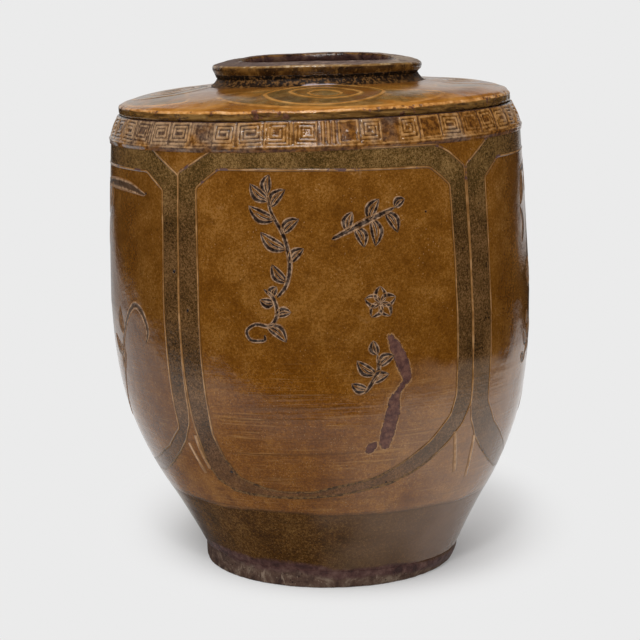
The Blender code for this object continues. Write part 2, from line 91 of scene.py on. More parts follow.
# Measured on the photograph: (degrees, millimetres) round the front panel's two lines
FRONT_OUTER = (
    (-27.8, 411.3), (0.1, 411.3), (32.6, 409.7), (37.0, 402.2), (42.1, 388.5), (42.6, 300.1),
    (42.7, 231.4), (43.4, 197.3), (43.1, 178.9), (40.7, 160.7), (36.0, 143.7), (31.1, 130.7),
    (26.1, 120.2), (18.9, 110.7), (11.9, 105.5), (3.0, 100.5), (-5.9, 97.8), (-16.0, 96.7),
    (-24.0, 97.3), (-29.6, 99.5), (-34.1, 107.1), (-36.6, 121.0), (-37.1, 144.6),
    (-37.9, 173.2), (-38.3, 228.3), (-38.3, 299.5), (-38.4, 391.4), (-32.7, 401.7),
)
FRONT_INNER = (
    (-25.8, 395.2), (0.1, 393.5), (30.5, 390.7), (33.8, 382.2), (36.7, 373.7), (37.4, 300.0),
    (37.5, 188.3), (36.0, 170.7), (30.1, 148.3), (23.0, 131.7), (14.8, 117.6), (4.0, 109.9),
    (-4.0, 103.5), (-12.9, 102.8), (-19.0, 105.1), (-26.8, 114.4), (-29.9, 132.1),
    (-31.9, 155.3), (-32.1, 228.5), (-32.1, 299.5), (-32.5, 378.7), (-29.4, 386.8),
)
# Each side panel's left and right edge in degrees
SIDE_PANELS = (("right", 42.7, 135.5), ("back", 135.5, 228.5), ("left", 228.5, 321.7))
# The side panels' low corners: degrees in from the panel's edge, and millimetres up
OUTER_FOOT = (
    (0.4, 176), (1.1, 163), (4.2, 145), (8.6, 131), (14.8, 117), (20.3, 108), (27, 100.5), (35, 97),
)
INNER_FOOT = ((5.6, 166), (5.6, 156.5), (12.9, 135), (23.4, 117.7), (31, 108.5), (38, 104.5))
WIDE_INNER_FOOT = ((7.4, 188), (7.6, 176), (12.4, 154.5), (21.7, 133), (30, 117), (38, 107))


def share_curve(share):
    """The share of the flare's width at a share of its height, on a smooth curve."""
    last = len(FLARE_SHARES) - 1
    index = 0
    while index < last - 1 and share > FLARE_SHARES[index + 1][0]:
        index += 1
    slopes = []
    for point in (index, index + 1):
        before = FLARE_SHARES[max(point - 1, 0)]
        after = FLARE_SHARES[min(point + 1, last)]
        slopes.append((after[1] - before[1]) / (after[0] - before[0]))
    low, high = FLARE_SHARES[index], FLARE_SHARES[index + 1]
    span = high[0] - low[0]
    t = (share - low[0]) / span
    rise = (1 + 2 * t) * (1 - t) ** 2 * low[1] + t * t * (3 - 2 * t) * high[1]
    return rise + span * (t * (1 - t) ** 2 * slopes[0] - t * t * (1 - t) * slopes[1])


def flare_radius(height):
    share = max((height - SLAB_TOP) / (BELLY_HEIGHT - SLAB_TOP), 0.0)
    return WALL_FOOT_RADIUS + share_curve(share) * (BELLY_RADIUS - WALL_FOOT_RADIUS)


def upper_radius(height):
    fall = ((height - BELLY_HEIGHT) / (BAND_FOOT - BELLY_HEIGHT)) ** UPPER_CURVE_POWER
    return BELLY_RADIUS - fall * (BELLY_RADIUS - WALL_TOP_RADIUS)


WALL_HEIGHTS = np.arange(SLAB_TOP, BAND_FOOT + 4 * MM, 0.5 * MM)
WALL_RADII = np.array(
    [flare_radius(h) if h < BELLY_HEIGHT else upper_radius(h) for h in WALL_HEIGHTS]
)


def wall_outline(way):
    return np.interp(way, WALL_HEIGHTS, WALL_RADII), way + 0.0


def band_outline(way):
    share = (way - BAND_FOOT) / (BAND_TOP - BAND_FOOT)
    return WALL_TOP_RADIUS + BAND_PROUD - share * BAND_INWARD_LEAN, way + 0.0


def shoulder_outline(way):
    share = way / (SHOULDER_RADIUS - NECK_RADIUS)
    dome = 4 * share * (1 - share) * SHOULDER_DOME
    return SHOULDER_RADIUS - way, SHOULDER_EDGE_TOP + share * SHOULDER_RISE + dome


def hand_wobble(angle, way):
    """How far the potter's hand left the wall inside the true outline."""
    broad = np.sin(2 * angle + 9 * way + 1.1) + 0.7 * np.sin(3 * angle - 21 * way + 0.4)
    close = np.sin(5 * angle + 33 * way) * np.sin(61 * way - 2 * angle)
    return -0.00012 * (1.9 + broad) - 0.0001 * (1 + close)


class Skin:
    """A turned surface. Its places are an angle round the jar and a way up its outline."""

    STEP = 0.0004

    def __init__(self, outline, uneven=None):
        self.outline = outline
        self.uneven = uneven

    def slope(self, way):
        low = self.outline(way - self.STEP)
        high = self.outline(way + self.STEP)
        return (high[0] - low[0]) / (2 * self.STEP), (high[1] - low[1]) / (2 * self.STEP)

    def stretch(self, way):
        """Real length for each unit of way."""
        return np.hypot(*self.slope(way))

    def place(self, angle, way, lift=0.0):
        radius, height = self.outline(way)
        across, up = self.slope(way)
        length = np.hypot(across, up)
        if self.uneven:
            lift = lift + self.uneven(angle, way)
        radius = radius + lift * up / length
        height = height - lift * across / length
        return np.stack([radius * np.sin(angle), -radius * np.cos(angle), height], axis=-1)


WALL = Skin(wall_outline, hand_wobble)
BAND = Skin(band_outline)
SHOULDER = Skin(shoulder_outline)


# ---- shaping ----


def deselect():
    bpy.ops.object.select_all(action="DESELECT")


def read_points(piece):
    points = np.empty(len(piece.data.vertices) * 3)
    piece.data.vertices.foreach_get("co", points)
    return points.reshape(-1, 3)


def write_points(piece, points):
    piece.data.vertices.foreach_set("co", np.ascontiguousarray(points).ravel())
    piece.data.update()


def mark(piece, name, values):
    """Keeps a number for each point of a piece, for its finish to read."""
    layer = piece.data.attributes.new(name, "FLOAT", "POINT")
    layer.data.foreach_set("value", np.asarray(values, dtype=np.float32).ravel())


def merge_doubles():
    """Closes the seam of the selected piece, where its first and last points meet."""
    bpy.ops.object.mode_set(mode="EDIT")
    bpy.ops.mesh.select_all(action="SELECT")
    bpy.ops.mesh.remove_doubles(threshold=0.01 * MM)
    bpy.ops.object.mode_set(mode="OBJECT")


def turn_on_wheel(name, outline, segments, closed=True):
    """Spins a (radius, height) outline a full turn about the axis."""
    deselect()
    bpy.ops.mesh.primitive_circle_add(vertices=len(outline), radius=SLAB_RADIUS)
    piece = bpy.context.object
    piece.name = name
    for vert, (radius, height) in zip(piece.data.vertices, outline):
        vert.co = (0, -radius, height)
    if not closed:
        for vert in piece.data.vertices:
            vert.select = False
        for edge in piece.data.edges:
            edge.select = set(edge.vertices) == {0, len(outline) - 1}
        bpy.ops.object.mode_set(mode="EDIT")
        bpy.ops.mesh.select_mode(type="EDGE")
        bpy.ops.mesh.delete(type="EDGE")
        bpy.ops.mesh.select_mode(type="VERT")
    else:
        bpy.ops.object.mode_set(mode="EDIT")
    bpy.ops.mesh.select_all(action="SELECT")
    bpy.ops.mesh.spin(steps=segments, angle=math.tau, center=(0, 0, 0), axis=(0, 0, 1))
    bpy.ops.mesh.select_all(action="SELECT")
    bpy.ops.mesh.remove_doubles(threshold=0.01 * MM)
    bpy.ops.mesh.normals_make_consistent(inside=False)
    bpy.ops.object.mode_set(mode="OBJECT")
    return piece


def eased(share):
    share = np.clip(share, 0.0, 1.0)
    return share * share * (3 - 2 * share)


def axis_offset(height):
    """How far the bent axis stands from the middle of the foot, towards +X."""
    share = np.minimum(height / LEAN_FULL_HEIGHT, 1.0)
    start = share * (1 - share) ** 2 * AXIS_FOOT_SLOPE_SHARE
    end = (share**3 - share**2) * AXIS_HEAD_SLOPE_SHARE
    offset = -eased(share) * AXIS_OFFSET - LEAN_FULL_HEIGHT * (start + end)
    offset = offset - np.maximum(height - LEAN_FULL_HEIGHT, 0.0) * AXIS_HEAD_SLOPE_SHARE
    neck = (height - SHOULDER_EDGE_TOP) / (NECK_FOOT - SHOULDER_EDGE_TOP)
    return offset + np.clip(neck, 0.0, 1.0) * NECK_OFFSET


def drawn_over(points):
    """Carries places on the upright jar to the jar as it leans and bends."""
    share = (points[:, 2] - LEAN_START_HEIGHT) / (LEAN_FULL_HEIGHT - LEAN_START_HEIGHT)
    tilt = LEAN * eased(share)
    across = axis_offset(points[:, 2]) + points[:, 0] * np.cos(tilt)
    return np.stack([across, points[:, 1], points[:, 2] + points[:, 0] * np.sin(tilt)], axis=1)


def ground(piece, material, slot, *nodes, smooth=True):
    """Leans a finished piece with the jar, gives it its finish and ties it to the model."""
    deselect()
    piece.select_set(True)
    bpy.context.view_layer.objects.active = piece
    write_points(piece, drawn_over(read_points(piece)))
    if smooth:
        bpy.ops.object.shade_smooth()
    piece.data.materials.clear()
    piece.data.materials.append(material)
    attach(piece, "root")
    if nodes:
        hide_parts(*nodes)
    return piece


def round_axis(points):
    """Each point's angle from the front and its distance from the axis."""
    return np.arctan2(points[:, 0], -points[:, 1]), np.hypot(points[:, 0], points[:, 1])


def push_out(points, angle, push):
    """Moves points straight out from the axis, in place."""
    points[:, 0] += np.sin(angle) * push
    points[:, 1] -= np.cos(angle) * push


def grain(points, scale, seed=0.0):
    """Soft lumps from -1 to 1, scale of them to the metre."""
    shift = Vector((seed, seed * 1.7, seed * 0.6))
    return np.array([noise.noise(Vector(point) * scale + shift) for point in points])


def soft_step(values, low, high):
    t = np.clip((values - low) / (high - low), 0, 1)
    return t * t * (3 - 2 * t)


def half_turn(angle):
    """The same angle between -pi and pi."""
    return (angle + math.pi) % math.tau - math.pi


# ---- lines on the clay ----


def cornered(points, reach, closed=True):
    """A (degrees, millimetres) outline with each corner cut to a small curve."""
    points = [np.array((math.radians(a) * FITTED_WALL_RADIUS, z * MM)) for a, z in points]
    rounded = []
    for index, corner in enumerate(points):
        if not closed and index in (0, len(points) - 1):
            rounded.append(corner)
            continue
        before = points[index - 1] - corner
        after = points[(index + 1) % len(points)] - corner
        near = min(reach, np.linalg.norm(before) / 2, np.linalg.norm(after) / 2)
        start = corner + before / np.linalg.norm(before) * near
        end = corner + after / np.linalg.norm(after) * near
        for t in (0, 0.33, 0.67, 1):
            rounded.append(start * (1 - t) ** 2 + corner * 2 * t * (1 - t) + end * t * t)
    rounded = np.array(rounded)
    rounded[:, 0] /= FITTED_WALL_RADIUS
    return rounded


def evenly(path, step, closed):
    """The path with a point at every step of its length."""
    if closed:
        path = np.vstack([path, path[:1]])
    flat = path * (FITTED_WALL_RADIUS, 1)
    run = np.concatenate([[0], np.cumsum(np.linalg.norm(np.diff(flat, axis=0), axis=1))])
    count = max(int(run[-1] / step), 4)
    at = np.linspace(0, run[-1], count + 1)
    even = np.stack([np.interp(at, run, path[:, 0]), np.interp(at, run, path[:, 1])], axis=1)
    return even[:-1] if closed else even


def curve_through(points, count):
    """A smooth open curve through a few given points, each with any number of values."""
    points = np.array(points, float)
    ends = np.vstack([2 * points[0] - points[1], points, 2 * points[-1] - points[-2]])
    curve = []
    for t in np.linspace(0, len(points) - 1, count):
        index = min(int(t), len(points) - 2)
        f = t - index
        a, b, c, d = ends[index : index + 4]
        bend, twist = 2 * a - 5 * b + 4 * c - d, 3 * b - a - 3 * c + d
        curve.append(0.5 * (2 * b + (c - a) * f + bend * f**2 + twist * f**3))
    return np.array(curve)


def lay_strip(name, skin, path, half_width, section, closed=False, height=None):
    """A narrow sheet laid on the clay along a path of (angle, way).

    section is a table of (across, lift): across in half widths, and lift in metres.
    """
    count = len(path)
    columns = count + 1 if closed else count
    deselect()
    bpy.ops.mesh.primitive_grid_add(x_subdivisions=columns - 1, y_subdivisions=len(section) - 1)
    piece = bpy.context.object
    piece.name = name
    order = np.arange(columns) % count
    half_width = np.broadcast_to(half_width, (count,))[order]
    height = np.ones(columns) if height is None else height[order]
    if closed:
        ahead, behind = path[(order + 1) % count], path[order - 1]
    else:
        ahead = path[np.minimum(order + 1, count - 1)]
        behind = path[np.maximum(order - 1, 0)]
    path = path[order]
    turn = half_turn(ahead[:, 0] - behind[:, 0])
    radius = skin.outline(path[:, 1])[0]
    stretch = skin.stretch(path[:, 1])
    along = np.stack([turn * radius, (ahead[:, 1] - behind[:, 1]) * stretch], axis=1)
    along /= np.linalg.norm(along, axis=1)[:, None]
    points = np.empty((len(section), columns, 3))
    for row, (across, lift) in enumerate(section):
        offset = across * half_width
        angle = path[:, 0] - along[:, 1] * offset / radius
        way = path[:, 1] + along[:, 0] * offset / stretch
        points[row] = skin.place(angle, way, lift * height)
    write_points(piece, points.reshape(-1, 3))
    mark(piece, "across", np.repeat([abs(a) for a, _ in section], columns))
    if closed:
        merge_doubles()
    return piece


def join(name, pieces):
    deselect()
    for piece in pieces:
        piece.select_set(True)
    bpy.context.view_layer.objects.active = pieces[0]
    if len(pieces) > 1:
        bpy.ops.object.join()
    joined = bpy.context.object
    joined.name = name
    return joined


LINE_SECTION = (
    (-1.7, -0.4 * MM), (-1.15, 0.0), (-0.75, 0.2 * MM), (-0.35, 0.42 * MM),
    (0.0, 0.5 * MM), (0.35, 0.42 * MM), (0.75, 0.2 * MM), (1.15, 0.0), (1.7, -0.4 * MM),
)
STROKE_SECTION = (
    (-1.9, -0.3 * MM), (-1.45, 0.16 * MM), (-1.15, 0.34 * MM), (-0.85, 0.22 * MM),
    (-0.45, 0.07 * MM), (0.0, 0.04 * MM), (0.45, 0.07 * MM), (0.85, 0.22 * MM),
    (1.15, 0.34 * MM), (1.45, 0.16 * MM), (1.9, -0.3 * MM),
)


def trailed_line(name, skin, outline, closed=True, half_width=1.0 * MM, fade=None, step=2.2 * MM):
    """A ridge of slip poured along a path, a little uneven as the hand and the slip are."""
    path = evenly(outline, step, closed)
    places = skin.place(path[:, 0], path[:, 1])
    drift = grain(places, 14, 3.0) * 0.7 * MM + grain(places, 40, 7.0) * 0.2 * MM
    path = path + np.stack([drift / FITTED_WALL_RADIUS, drift], axis=1)
    swell = 1 + 0.22 * grain(places, 24, 1.0) + 0.1 * grain(places, 70, 2.0)
    height = 1 + 0.25 * grain(places, 20, 5.0)
    if fade is not None:
        height = height * fade(path)
    return lay_strip(name, skin, path, half_width * swell, LINE_SECTION, closed, height)


def side_outline(left, right, head, chamfer, left_foot, right_foot):
    """A side panel's line: cut corners above, and wide curved ones below."""
    inset = left_foot[0][0] if left_foot[0][0] > 2 else 0
    other = right_foot[0][0] if right_foot[0][0] > 2 else 0
    points = [(left + inset + chamfer[0], head), (right - other - chamfer[0], head)]
    points.append((right - other, head - chamfer[1]))
    points += [(right - across, height) for across, height in right_foot]
    points += [(left + across, height) for across, height in left_foot[::-1]]
    points.append((left + inset, head - chamfer[1]))
    return points


FAR_OFF = 1.0
PANEL_REACH_DEG = 62
PANEL_CORNER = 2.5 * MM
PANELS = {"front": (cornered(FRONT_OUTER, PANEL_CORNER), cornered(FRONT_INNER, PANEL_CORNER), 1.8)}
for side, left, right in SIDE_PANELS:
    low_left = WIDE_INNER_FOOT if side == "right" else INNER_FOOT
    outer = side_outline(left, right, 411.3, (10.0, 22.0), OUTER_FOOT, OUTER_FOOT)
    inner = side_outline(left, right, 391.5, (6.6, 15.5), low_left, INNER_FOOT)
    PANELS[side] = (cornered(outer, PANEL_CORNER), cornered(inner, PANEL_CORNER), (left + right) / 2)


def distance_along(turn, way, radius, start, end):
    """Distance to a straight stretch between two places, and the share of it passed there."""
    across, up = (end[0] - start[0]) * radius, end[1] - start[1]
    out, above = half_turn(turn - start[0]) * radius, way - start[1]
    share = np.clip((out * across + above * up) / (across * across + up * up + 1e-12), 0, 1)
    return np.hypot(out - share * across, above - share * up), share


def distance_inside(turn, way, radius, corners):
    """Signed distance to a closed outline of (angle, way), positive inside."""
    best = np.full(len(turn), FAR_OFF)
    inside = np.zeros(len(turn), bool)
    for start, end in zip(np.roll(corners, 1, axis=0), corners):
        best = np.minimum(best, distance_along(turn, way, radius, start, end)[0])
        rise = end[1] - start[1] or 1e-9
        crossing = start[0] + (way - start[1]) / rise * (end[0] - start[0])
        inside ^= ((start[1] > way) != (end[1] > way)) & (turn < crossing)
    return np.where(inside, best, -best)


def distance_inside_panel(angle, way, outline, middle):
    """Signed distance from each place on the wall to a panel's line, positive inside."""
    turn = half_turn(angle - math.radians(middle))
    corners = np.stack([half_turn(outline[:, 0] - math.radians(middle)), outline[:, 1]], axis=1)
    best = np.full(len(angle), -FAR_OFF)
    near = np.abs(turn) < math.radians(PANEL_REACH_DEG)
    best[near] = distance_inside(turn[near], way[near], WALL.outline(way)[0][near], corners)
    return best


def distance_to_run(angle, way, run):
    """Distance from each place on the wall to a run of (degrees, millimetres, half width)."""
    best = np.full(len(angle), FAR_OFF)
    run = [(math.radians(a), z * MM, w * MM) for a, z, w in run]
    for start, end in zip(run[:-1], run[1:]):
        off, share = distance_along(angle, way, WALL.outline(way)[0], start, end)
        best = np.minimum(best, off - (start[2] + share * (end[2] - start[2])))
    return best


# Where the glaze ran off in the firing: degrees, millimetres up, and half width
SCAR_RUNS = (
    (
        (17.7, 246.4, 2.5), (18.8, 239.5, 4.6), (20.0, 229.7, 5.6), (21.4, 217.9, 5.2),
        (22.1, 208.1, 3.2),
    ),
    (
        (21.5, 206.1, 1.8), (19.5, 197.1, 2.2), (18.6, 190.1, 5.0), (18.2, 178.3, 6.2),
        (17.4, 167.4, 5.8), (16.8, 157.4, 6.2), (16.4, 149.4, 4.0),
    ),
    ((13.4, 150.2, 2.4), (12.4, 147.1, 4.2), (11.6, 144.0, 2.0)),
)


# ---- finishes ----


class Reading:
    """A number or colour on its way through a finish, which can be used in sums."""

    def __init__(self, recipe, socket):
        self.recipe = recipe
        self.socket = socket

    def sum(self, operation, first, second):
        node = self.recipe.node("ShaderNodeMath", {"operation": operation}, {0: first, 1: second})
        return node["Value"]

    def __add__(self, other):
        return self.sum("ADD", self, other)

    __radd__ = __add__

    def __sub__(self, other):
        return self.sum("SUBTRACT", self, other)

    def __rsub__(self, other):
        return self.sum("SUBTRACT", other, self)

    def __mul__(self, other):
        return self.sum("MULTIPLY", self, other)

    __rmul__ = __mul__


class Recipe:
    """A finish made of nodes: a material, or the world's light."""

    def __init__(self, tree):
        self.tree = tree
        tree.nodes.clear()

    def node(self, kind, settings=None, inputs=None):
        """Adds a node, sets it, fills its sockets and gives its outputs by name."""
        node = self.tree.nodes.new(kind)
        for name, value in (settings or {}).items():
            if name == "stops":
                ramp = node.color_ramp
                while len(ramp.elements) < len(value):
                    ramp.elements.new(0.5)
                for element, (position, colour) in zip(ramp.elements, value):
                    element.position = position
                    element.color = (*colour, 1)
            else:
                setattr(node, name, value)
        for name, value in (inputs or {}).items():
            socket = self.find(node.inputs, name)
            if isinstance(value, Reading):
                self.tree.links.new(value.socket, socket)
            elif isinstance(value, tuple) and socket.type == "RGBA":
                socket.default_value = (*value, 1)
            else:
                socket.default_value = value
        return {s.identifier: Reading(self, s) for s in node.outputs} | {
            s.name: Reading(self, s) for s in reversed(node.outputs) if s.enabled
        }

    @staticmethod
    def find(sockets, name):
        if isinstance(name, int):
            return sockets[name]
        for socket in sockets:
            if socket.identifier == name:
                return socket
        return sockets[name]

    def place(self):
        return self.node("ShaderNodeTexCoord")["Object"]

    def parts(self, vector):
        split = self.node("ShaderNodeSeparateXYZ", {}, {0: vector})
        return split["X"], split["Y"], split["Z"]

    def stretched(self, vector, scale):
        return self.node("ShaderNodeMapping", {}, {"Vector": vector, "Scale": scale})["Vector"]

    def turned(self, vector, rotation):
        return self.node("ShaderNodeMapping", {}, {"Vector": vector, "Rotation": rotation})["Vector"]

    def lumps(self, vector, scale, detail=3.0, rough=0.55, twist=0.0):
        """Soft noise about 0.5, scale lumps to the metre."""
        inputs = {"Vector": vector, "Scale": scale, "Detail": detail, "Roughness": rough}
        inputs["Distortion"] = twist
        return self.node("ShaderNodeTexNoise", {"noise_dimensions": "3D"}, inputs)["Fac"]

    def grains(self, vector, scale):
        """Distance to the nearest of many scattered specks."""
        return self.node("ShaderNodeTexVoronoi", {}, {"Vector": vector, "Scale": scale})["Distance"]

    def specks(self, vector, scale, size, patch_scale, patch):
        """Specks whose edges lie at the two distances of size, crowded in some patches."""
        return self.step(self.grains(vector, scale), *size) * self.step(
            self.lumps(vector, patch_scale, 2), *patch
        )

    def step(self, value, low, high):
        """0 below low and 1 above high, smooth between."""
        return self.node(
            "ShaderNodeMapRange",
            {"interpolation_type": "SMOOTHSTEP"},
            {"Value": value, "From Min": low, "From Max": high},
        )["Result"]

    def fact(self, name):
        """A number that the piece's own points carry."""
        return self.node("ShaderNodeAttribute", {"attribute_name": name})["Fac"]

    def blend(self, mask, below, above, mode="MIX"):
        """One colour where the mask is 0, and another where it is 1."""
        return self.node(
            "ShaderNodeMix",
            {"data_type": "RGBA", "blend_type": mode},
            {"Factor_Float": mask, "A_Color": below, "B_Color": above},
        )["Result_Color"]

    def either(self, mask, first, second):
        """One shader where the mask is 0, and another where it is 1."""
        return self.node("ShaderNodeMixShader", {}, {0: mask, 1: first, 2: second})["Shader"]

    def tint(self, mask, colour, by):
        """The colour multiplied by another one where the mask is 1."""
        return self.blend(mask, colour, by, "MULTIPLY")

    def tones(self, value, stops):
        """A ramp of colours at the given values."""
        return self.node("ShaderNodeValToRGB", {"stops": stops}, {"Fac": value})["Color"]

    def bump(self, height, distance, strength=1.0, under=None):
        inputs = {"Height": height, "Distance": distance, "Strength": strength}
        if under is not None:
            inputs["Normal"] = under
        return self.node("ShaderNodeBump", {}, inputs)["Normal"]


def finish(colour, roughness, normal, recipe, dull=None):
    """Closes a finish. Where dull is 1, the face hardly mirrors anything, as bare clay does."""

    def shader(ior):
        inputs = {"Base Color": colour, "Roughness": roughness, "Normal": normal, "IOR": ior}
        return recipe.node("ShaderNodeBsdfPrincipled", {}, inputs)["BSDF"]

    surface = shader(1.5)
    if dull is not None:
        surface = recipe.either(dull, surface, shader(1.12))
    recipe.node("ShaderNodeOutputMaterial", {}, {"Surface": surface})


def new_recipe(name):
    material = bpy.data.materials.new(name)
    material.use_nodes = True
    return material, Recipe(material.node_tree)


AMBER_DEEP = (0.104, 0.036, 0.0035)
AMBER = (0.152, 0.058, 0.0072)
AMBER_PALE = (0.222, 0.098, 0.020)
OLIVE_DARK = (0.022, 0.0125, 0.0030)
OLIVE = (0.084, 0.040, 0.0118)
OLIVE_PALE = (0.180, 0.096, 0.036)
SLIP = (0.245, 0.118, 0.034)
BAND_BROWN = (0.061, 0.0250, 0.0048)
BAND_DARK = (0.030, 0.013, 0.004)
CLAY = (0.098, 0.056, 0.040)
CLAY_PALE = (0.20, 0.145, 0.105)
SCAR = (0.098, 0.043, 0.032)


def amber_colour(r, place):
    """Mottled amber glaze with fine pale and dark specks."""
    cloud = r.lumps(place, 14, 4, 0.62, 0.8)
    blotch = r.lumps(place, 60, 3, 0.65, 0.3)
    fine = r.lumps(place, 420, 2, 0.6)
    dust = r.lumps(place, 950, 2, 0.6)
    tone = cloud * 0.33 + blotch * 0.22 + fine * 0.25 + dust * 0.20
    colour = r.tones(tone, [(0.41, AMBER_DEEP), (0.5, AMBER), (0.59, AMBER_PALE)])
    stain = r.step(r.lumps(place, 26, 4, 0.65, 1.2), 0.57, 0.72)
    colour = r.blend(stain * 0.6, colour, (0.084, 0.029, 0.003))
    bloom = r.step(r.lumps(place, 20, 5, 0.7, 0.8), 0.60, 0.76) * r.step(blotch, 0.40, 0.6)
    colour = r.blend(bloom * 0.5, colour, (0.265, 0.145, 0.058))
    grainy = r.tones(
        r.lumps(place, 620, 3, 0.75), [(0.38, (0.78, 0.74, 0.66)), (0.62, (1.24, 1.28, 1.40))]
    )
    colour = r.tint(0.8, colour, grainy)
    pale_speck = r.specks(place, 260, (0.19, 0.07), 45, (0.48, 0.60))
    dark_speck = r.specks(place, 150, (0.10, 0.05), 35, (0.54, 0.6))
    colour = r.blend(pale_speck * 0.6, colour, (0.36, 0.20, 0.085))
    return r.blend(dark_speck * 0.8, colour, (0.040, 0.016, 0.006))


def olive_colour(r, place):
    """The frames' olive glaze, crowded with fine dark and pale specks."""
    _, y, z = r.parts(place)
    broad = r.lumps(place, 30, 3, 0.6)
    middle = r.lumps(place, 440, 3, 0.75)
    fine = r.lumps(place, 980, 2, 0.75)
    tone = broad * 0.24 + middle * 0.38 + fine * 0.38
    colour = r.tones(tone, [(0.41, OLIVE_DARK), (0.5, OLIVE), (0.59, OLIVE_PALE)])
    speck = r.specks(place, 480, (0.30, 0.12), 90, (0.36, 0.52))
    colour = r.blend(speck * 0.6, colour, (0.016, 0.010, 0.004))
    green = r.step(z, 0.33, 0.40) * r.step(y, -0.05, -0.13)
    colour = r.tint(green, colour, (1.14, 1.24, 1.10))
    low = r.step(z, 0.24, 0.13)
    colour = r.tint(low * 0.7, colour, (0.82, 0.74, 0.95))
    pit = r.specks(place, 80, (0.085, 0.045), 22, (0.52, 0.6))
    return r.blend(pit * 0.9, colour, (0.012, 0.007, 0.004))


def clay_colour(r, place):
    """Bare fired clay, purple-brown with paler scrapes."""
    tone = r.lumps(place, 60, 5, 0.7, 0.8)
    colour = r.tones(tone, [(0.35, (0.050, 0.028, 0.022)), (0.5, CLAY), (0.66, CLAY_PALE)])
    scrape = r.step(r.lumps(r.stretched(place, (150.0, 150.0, 55.0)), 1.0, 3, 0.65, 0.6), 0.56, 0.70)
    colour = r.blend(scrape * 0.7, colour, (0.30, 0.225, 0.165))
    grit = r.specks(place, 300, (0.24, 0.1), 80, (0.44, 0.58))
    colour = r.blend(grit * 0.5, colour, (0.31, 0.24, 0.175))
    pit = r.specks(place, 210, (0.24, 0.1), 60, (0.42, 0.56))
    return r.blend(pit * 0.8, colour, (0.016, 0.009, 0.007))


def foot_colour(r, place, ragged, above):
    """From the dark dip down: a thin purple skin, and raw clay below it. Gives its mask too."""
    x, _, z = r.parts(place)
    drift = r.lumps(place, 13, 2, 0.5) - 0.5
    level = z + drift * 0.020 + ragged * 0.007 + x * 0.028
    purple = r.tones(
        r.lumps(place, 110, 4, 0.65, 0.4),
        [(0.36, (0.040, 0.019, 0.017)), (0.5, (0.074, 0.034, 0.029)), (0.66, (0.125, 0.068, 0.055))],
    )
    skin = r.step(level, 0.0235, 0.0185)
    bare = r.step(level, 0.0125, 0.0080)
    colour = r.blend(skin, above, purple)
    colour = r.blend(bare, colour, clay_colour(r, place))
    soot = r.step(r.lumps(place, 34, 4, 0.7, 0.5), 0.58, 0.70) * bare
    return r.blend(soot * 0.75, colour, (0.030, 0.017, 0.013)), skin, bare


def streaks(r, place):
    """Wiping and throwing marks that run round the jar."""
    leaned = r.turned(place, (0.0, 0.035, 0.0))
    flat = r.stretched(leaned, (7.0, 7.0, 190.0))
    fine = r.stretched(leaned, (15.0, 15.0, 620.0))
    return r.lumps(flat, 1.0, 3, 0.6, 0.5), r.lumps(fine, 1.0, 2, 0.6, 0.3)


def glaze_waves(r, place):
    """The uneven, lightly pitted face of a thick glaze."""
    wave = r.bump(r.lumps(place, 30, 2, 0.5), 0.0016, 0.45)
    peel = r.bump(r.lumps(place, 190, 3, 0.6), 0.0003, 0.6, wave)
    return r.bump(r.lumps(place, 850, 2, 0.6), 0.00008, 0.7, peel)


# Burst bubbles on the wall: degrees, millimetres up, and radius in millimetres
PITS = (
    (-39.9, 304.0, 1.7), (-35.6, 270.0, 1.4), (28.8, 352.0, 1.0), (8.2, 112.5, 1.2), (17.6, 112.0, 1.0),
    (-29.0, 119.0, 1.6), (13.4, 208.0, 0.9), (-51.0, 371.0, 1.2), (49.0, 402.0, 1.2),
    (150.0, 301.0, 1.6), (204.0, 233.0, 1.3), (96.0, 262.0, 1.5), (121.0, 180.0, 1.2),
    (236.0, 342.0, 1.5),
)


def pitted(r, place, colour):
    """The colour with its burst bubbles, each a dark hole in the glaze, and their mask."""
    holes = []
    for angle, height, radius in PITS:
        spot = WALL.place(np.array([math.radians(angle)]), np.array([height * MM]))
        middle = tuple(float(v) for v in drawn_over(spot)[0])
        off = r.node("ShaderNodeVectorMath", {"operation": "DISTANCE"}, {0: place, 1: middle})["Value"]
        holes.append(r.step(off, radius * 1.15 * MM, radius * 0.55 * MM))
    deep = sum(holes[1:], holes[0])
    return r.blend(deep, colour, (0.014, 0.008, 0.006)), deep


def lower_band(r, place, x, y, drift):
    """The dark dip round the foot, and the mask of the painted pale floor reflection on its right side.
    """
    tone = r.lumps(place, 30, 3, 0.6, 0.6) * 0.24 + r.lumps(place, 380, 3, 0.75) * 0.40
    tone = tone + r.lumps(place, 900, 2, 0.75) * 0.36
    band = r.tones(tone, [(0.41, BAND_DARK), (0.5, BAND_BROWN), (0.59, (0.135, 0.066, 0.018))])
    # painted reflection: the floor's pale sheen on the dip's right side, paler still further round
    right_sheen = r.step(x + drift * 0.2, -0.055, 0.075)
    band = r.blend(right_sheen * 0.6, band, (0.115, 0.066, 0.036))
    far_right_sheen = r.step(x + drift * 0.1, 0.055, 0.120) * r.step(y, 0.08, 0.0)
    band = r.blend(far_right_sheen * 0.45, band, (0.215, 0.145, 0.112))
    soot = r.step(r.lumps(place, 24, 5, 0.7, 0.4), 0.48, 0.66) * (1 - right_sheen * 0.8)
    band = r.blend(soot * 0.6, band, (0.020, 0.011, 0.004))
    # painted glints: pale specks stand in for light caught on fine bumps in the dip's glaze
    fine = r.specks(place, 400, (0.24, 0.08), 60, (0.40, 0.55))
    return r.blend(fine * 0.65, band, (0.23, 0.128, 0.048)), right_sheen


